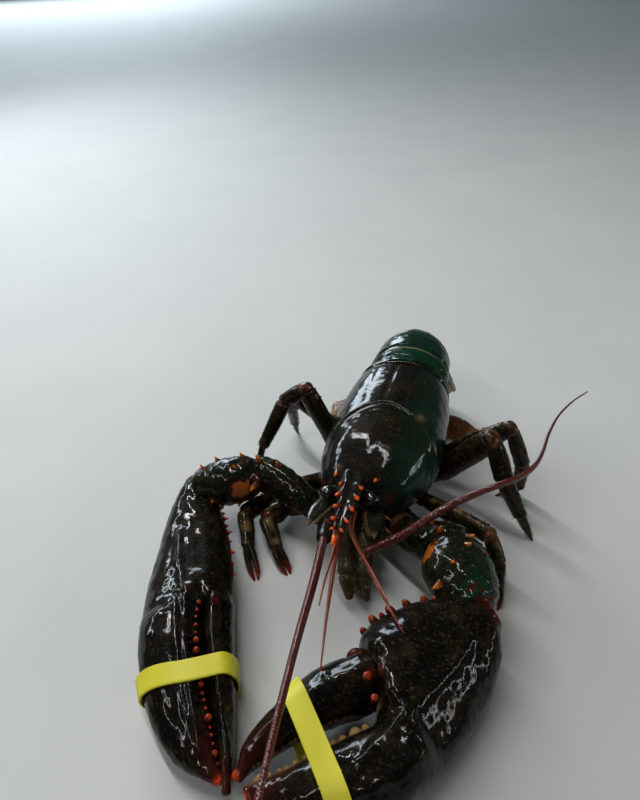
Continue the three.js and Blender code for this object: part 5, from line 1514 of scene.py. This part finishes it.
fan_blade("telson", TELSON, (0.3, 1.5), 0, 160)
for side, sign in (("left", 1), ("right", -1)):
    for kind, rows in FANS.items():
        placed = [[FAN_MIDDLE + sign * r[0], *r[1:]] for r in rows]
        fan_blade(f"fan_{kind}_{side}", placed, (0.5, 1.6), float(kind == "outer"), 161)

# %% [markdown]
# ## Floor, light and camera
# A pale matt floor, like a sheet of board. The light is that of a room with long lamps overhead
# and a window behind: strips give the thin white lines on the claws, the panel the broad sheen.

# %% Floor
def floor_finish():
    material, tree, shader = blank("pale_board")
    where = add(tree, "ShaderNodeTexCoord").outputs["Object"]
    cloud = add(tree, "ShaderNodeTexNoise", {"Vector": where, "Scale": 9.0, "Detail": 5})
    tooth = add(tree, "ShaderNodeTexNoise", {"Vector": where, "Scale": 900.0, "Detail": 2})
    colour = add(tree, "ShaderNodeMix", {0: cloud.outputs[0], 6: sight("#b9bab8"), 7: sight("#c4c4c0")},
                 data_type="RGBA")
    bumps = add(tree, "ShaderNodeBump", {"Height": tooth.outputs[0], "Strength": 0.1, "Distance": 0.0002})
    tree.links.new(colour.outputs[2], shader.inputs["Base Color"])
    tree.links.new(bumps.outputs[0], shader.inputs["Normal"])
    shader.inputs["Roughness"].default_value = 0.75
    return material


FLOOR_SIZE = 14.0
bpy.ops.mesh.primitive_plane_add(size=FLOOR_SIZE, location=(0, 0, 0))
floor = bpy.context.object
floor.name = "floor"
floor.data.materials.append(floor_finish())


# %% Light
def lamp(name, place, aim, wide, high, power, colour=(1, 1, 1)):
    """A soft panel of light that faces a point."""
    data = bpy.data.lights.new(name, "AREA")
    data.shape = "RECTANGLE"
    data.size = wide
    data.size_y = high
    data.energy = power
    data.color = colour
    panel = bpy.data.objects.new(name, data)
    forward = unit(np.array(aim, float) - np.array(place, float))
    across = unit(np.cross(forward, UP if abs(forward[2]) < 0.99 else np.array([0.0, 1.0, 0.0])))
    above = np.cross(across, forward)
    turned = np.stack([across, above, -forward], 1)
    panel.matrix_world = Matrix([[*row, spot] for row, spot in zip(turned, place)] + [[0, 0, 0, 1]])
    bpy.context.scene.collection.objects.link(panel)


lamp("lamp_right", (1.4, 0.1, 0.55), (0, 0, 0), 1.2, 0.03, 3)
lamp("lamp_middle", (-0.5, 0.3, 1.4), (0, 0, 0), 0.014, 1.8, 13)
lamp("lamp_left", (-1.4, 0.5, 0.65), (0, 0, 0), 1.2, 0.04, 7, (0.85, 0.93, 1.0))
lamp("lamp_front", (-0.6, -0.9, 1.3), (0, 0, 0), 1.4, 0.02, 6)
lamp("window", (-3.6, 4.2, 1.8), (0, 0, 0.05), 2.4, 1.9, 150, (0.78, 0.9, 1.0))
world = bpy.data.worlds.new("room")
world.use_nodes = True
world.node_tree.nodes["Background"].inputs[0].default_value = (0.75, 0.8, 0.85, 1)
world.node_tree.nodes["Background"].inputs[1].default_value = 0.09
bpy.context.scene.world = world
bpy.context.scene.view_settings.view_transform = "Standard"
bpy.context.scene.view_settings.exposure = 0.2
bpy.context.scene.view_settings.gamma = 0.88

# %% Camera
CAMERA_PLACE = (0.0720, -0.2037, 0.300)
CAMERA_HEADING = math.radians(21.63)
CAMERA_PITCH = math.radians(36)
CAMERA_ROLL = math.radians(-2)
camera_data = bpy.data.cameras.new("camera")
camera_data.lens = 28.44
camera_data.sensor_width = 36
camera_data.clip_start = 0.01
camera = bpy.data.objects.new("camera", camera_data)
turned = Matrix.Rotation(CAMERA_HEADING, 4, "Z") @ Matrix.Rotation(math.pi / 2 - CAMERA_PITCH, 4, "X")
camera.matrix_world = Matrix.Translation(CAMERA_PLACE) @ turned @ Matrix.Rotation(CAMERA_ROLL, 4, "Z")
bpy.context.scene.collection.objects.link(camera)
bpy.context.scene.camera = camera
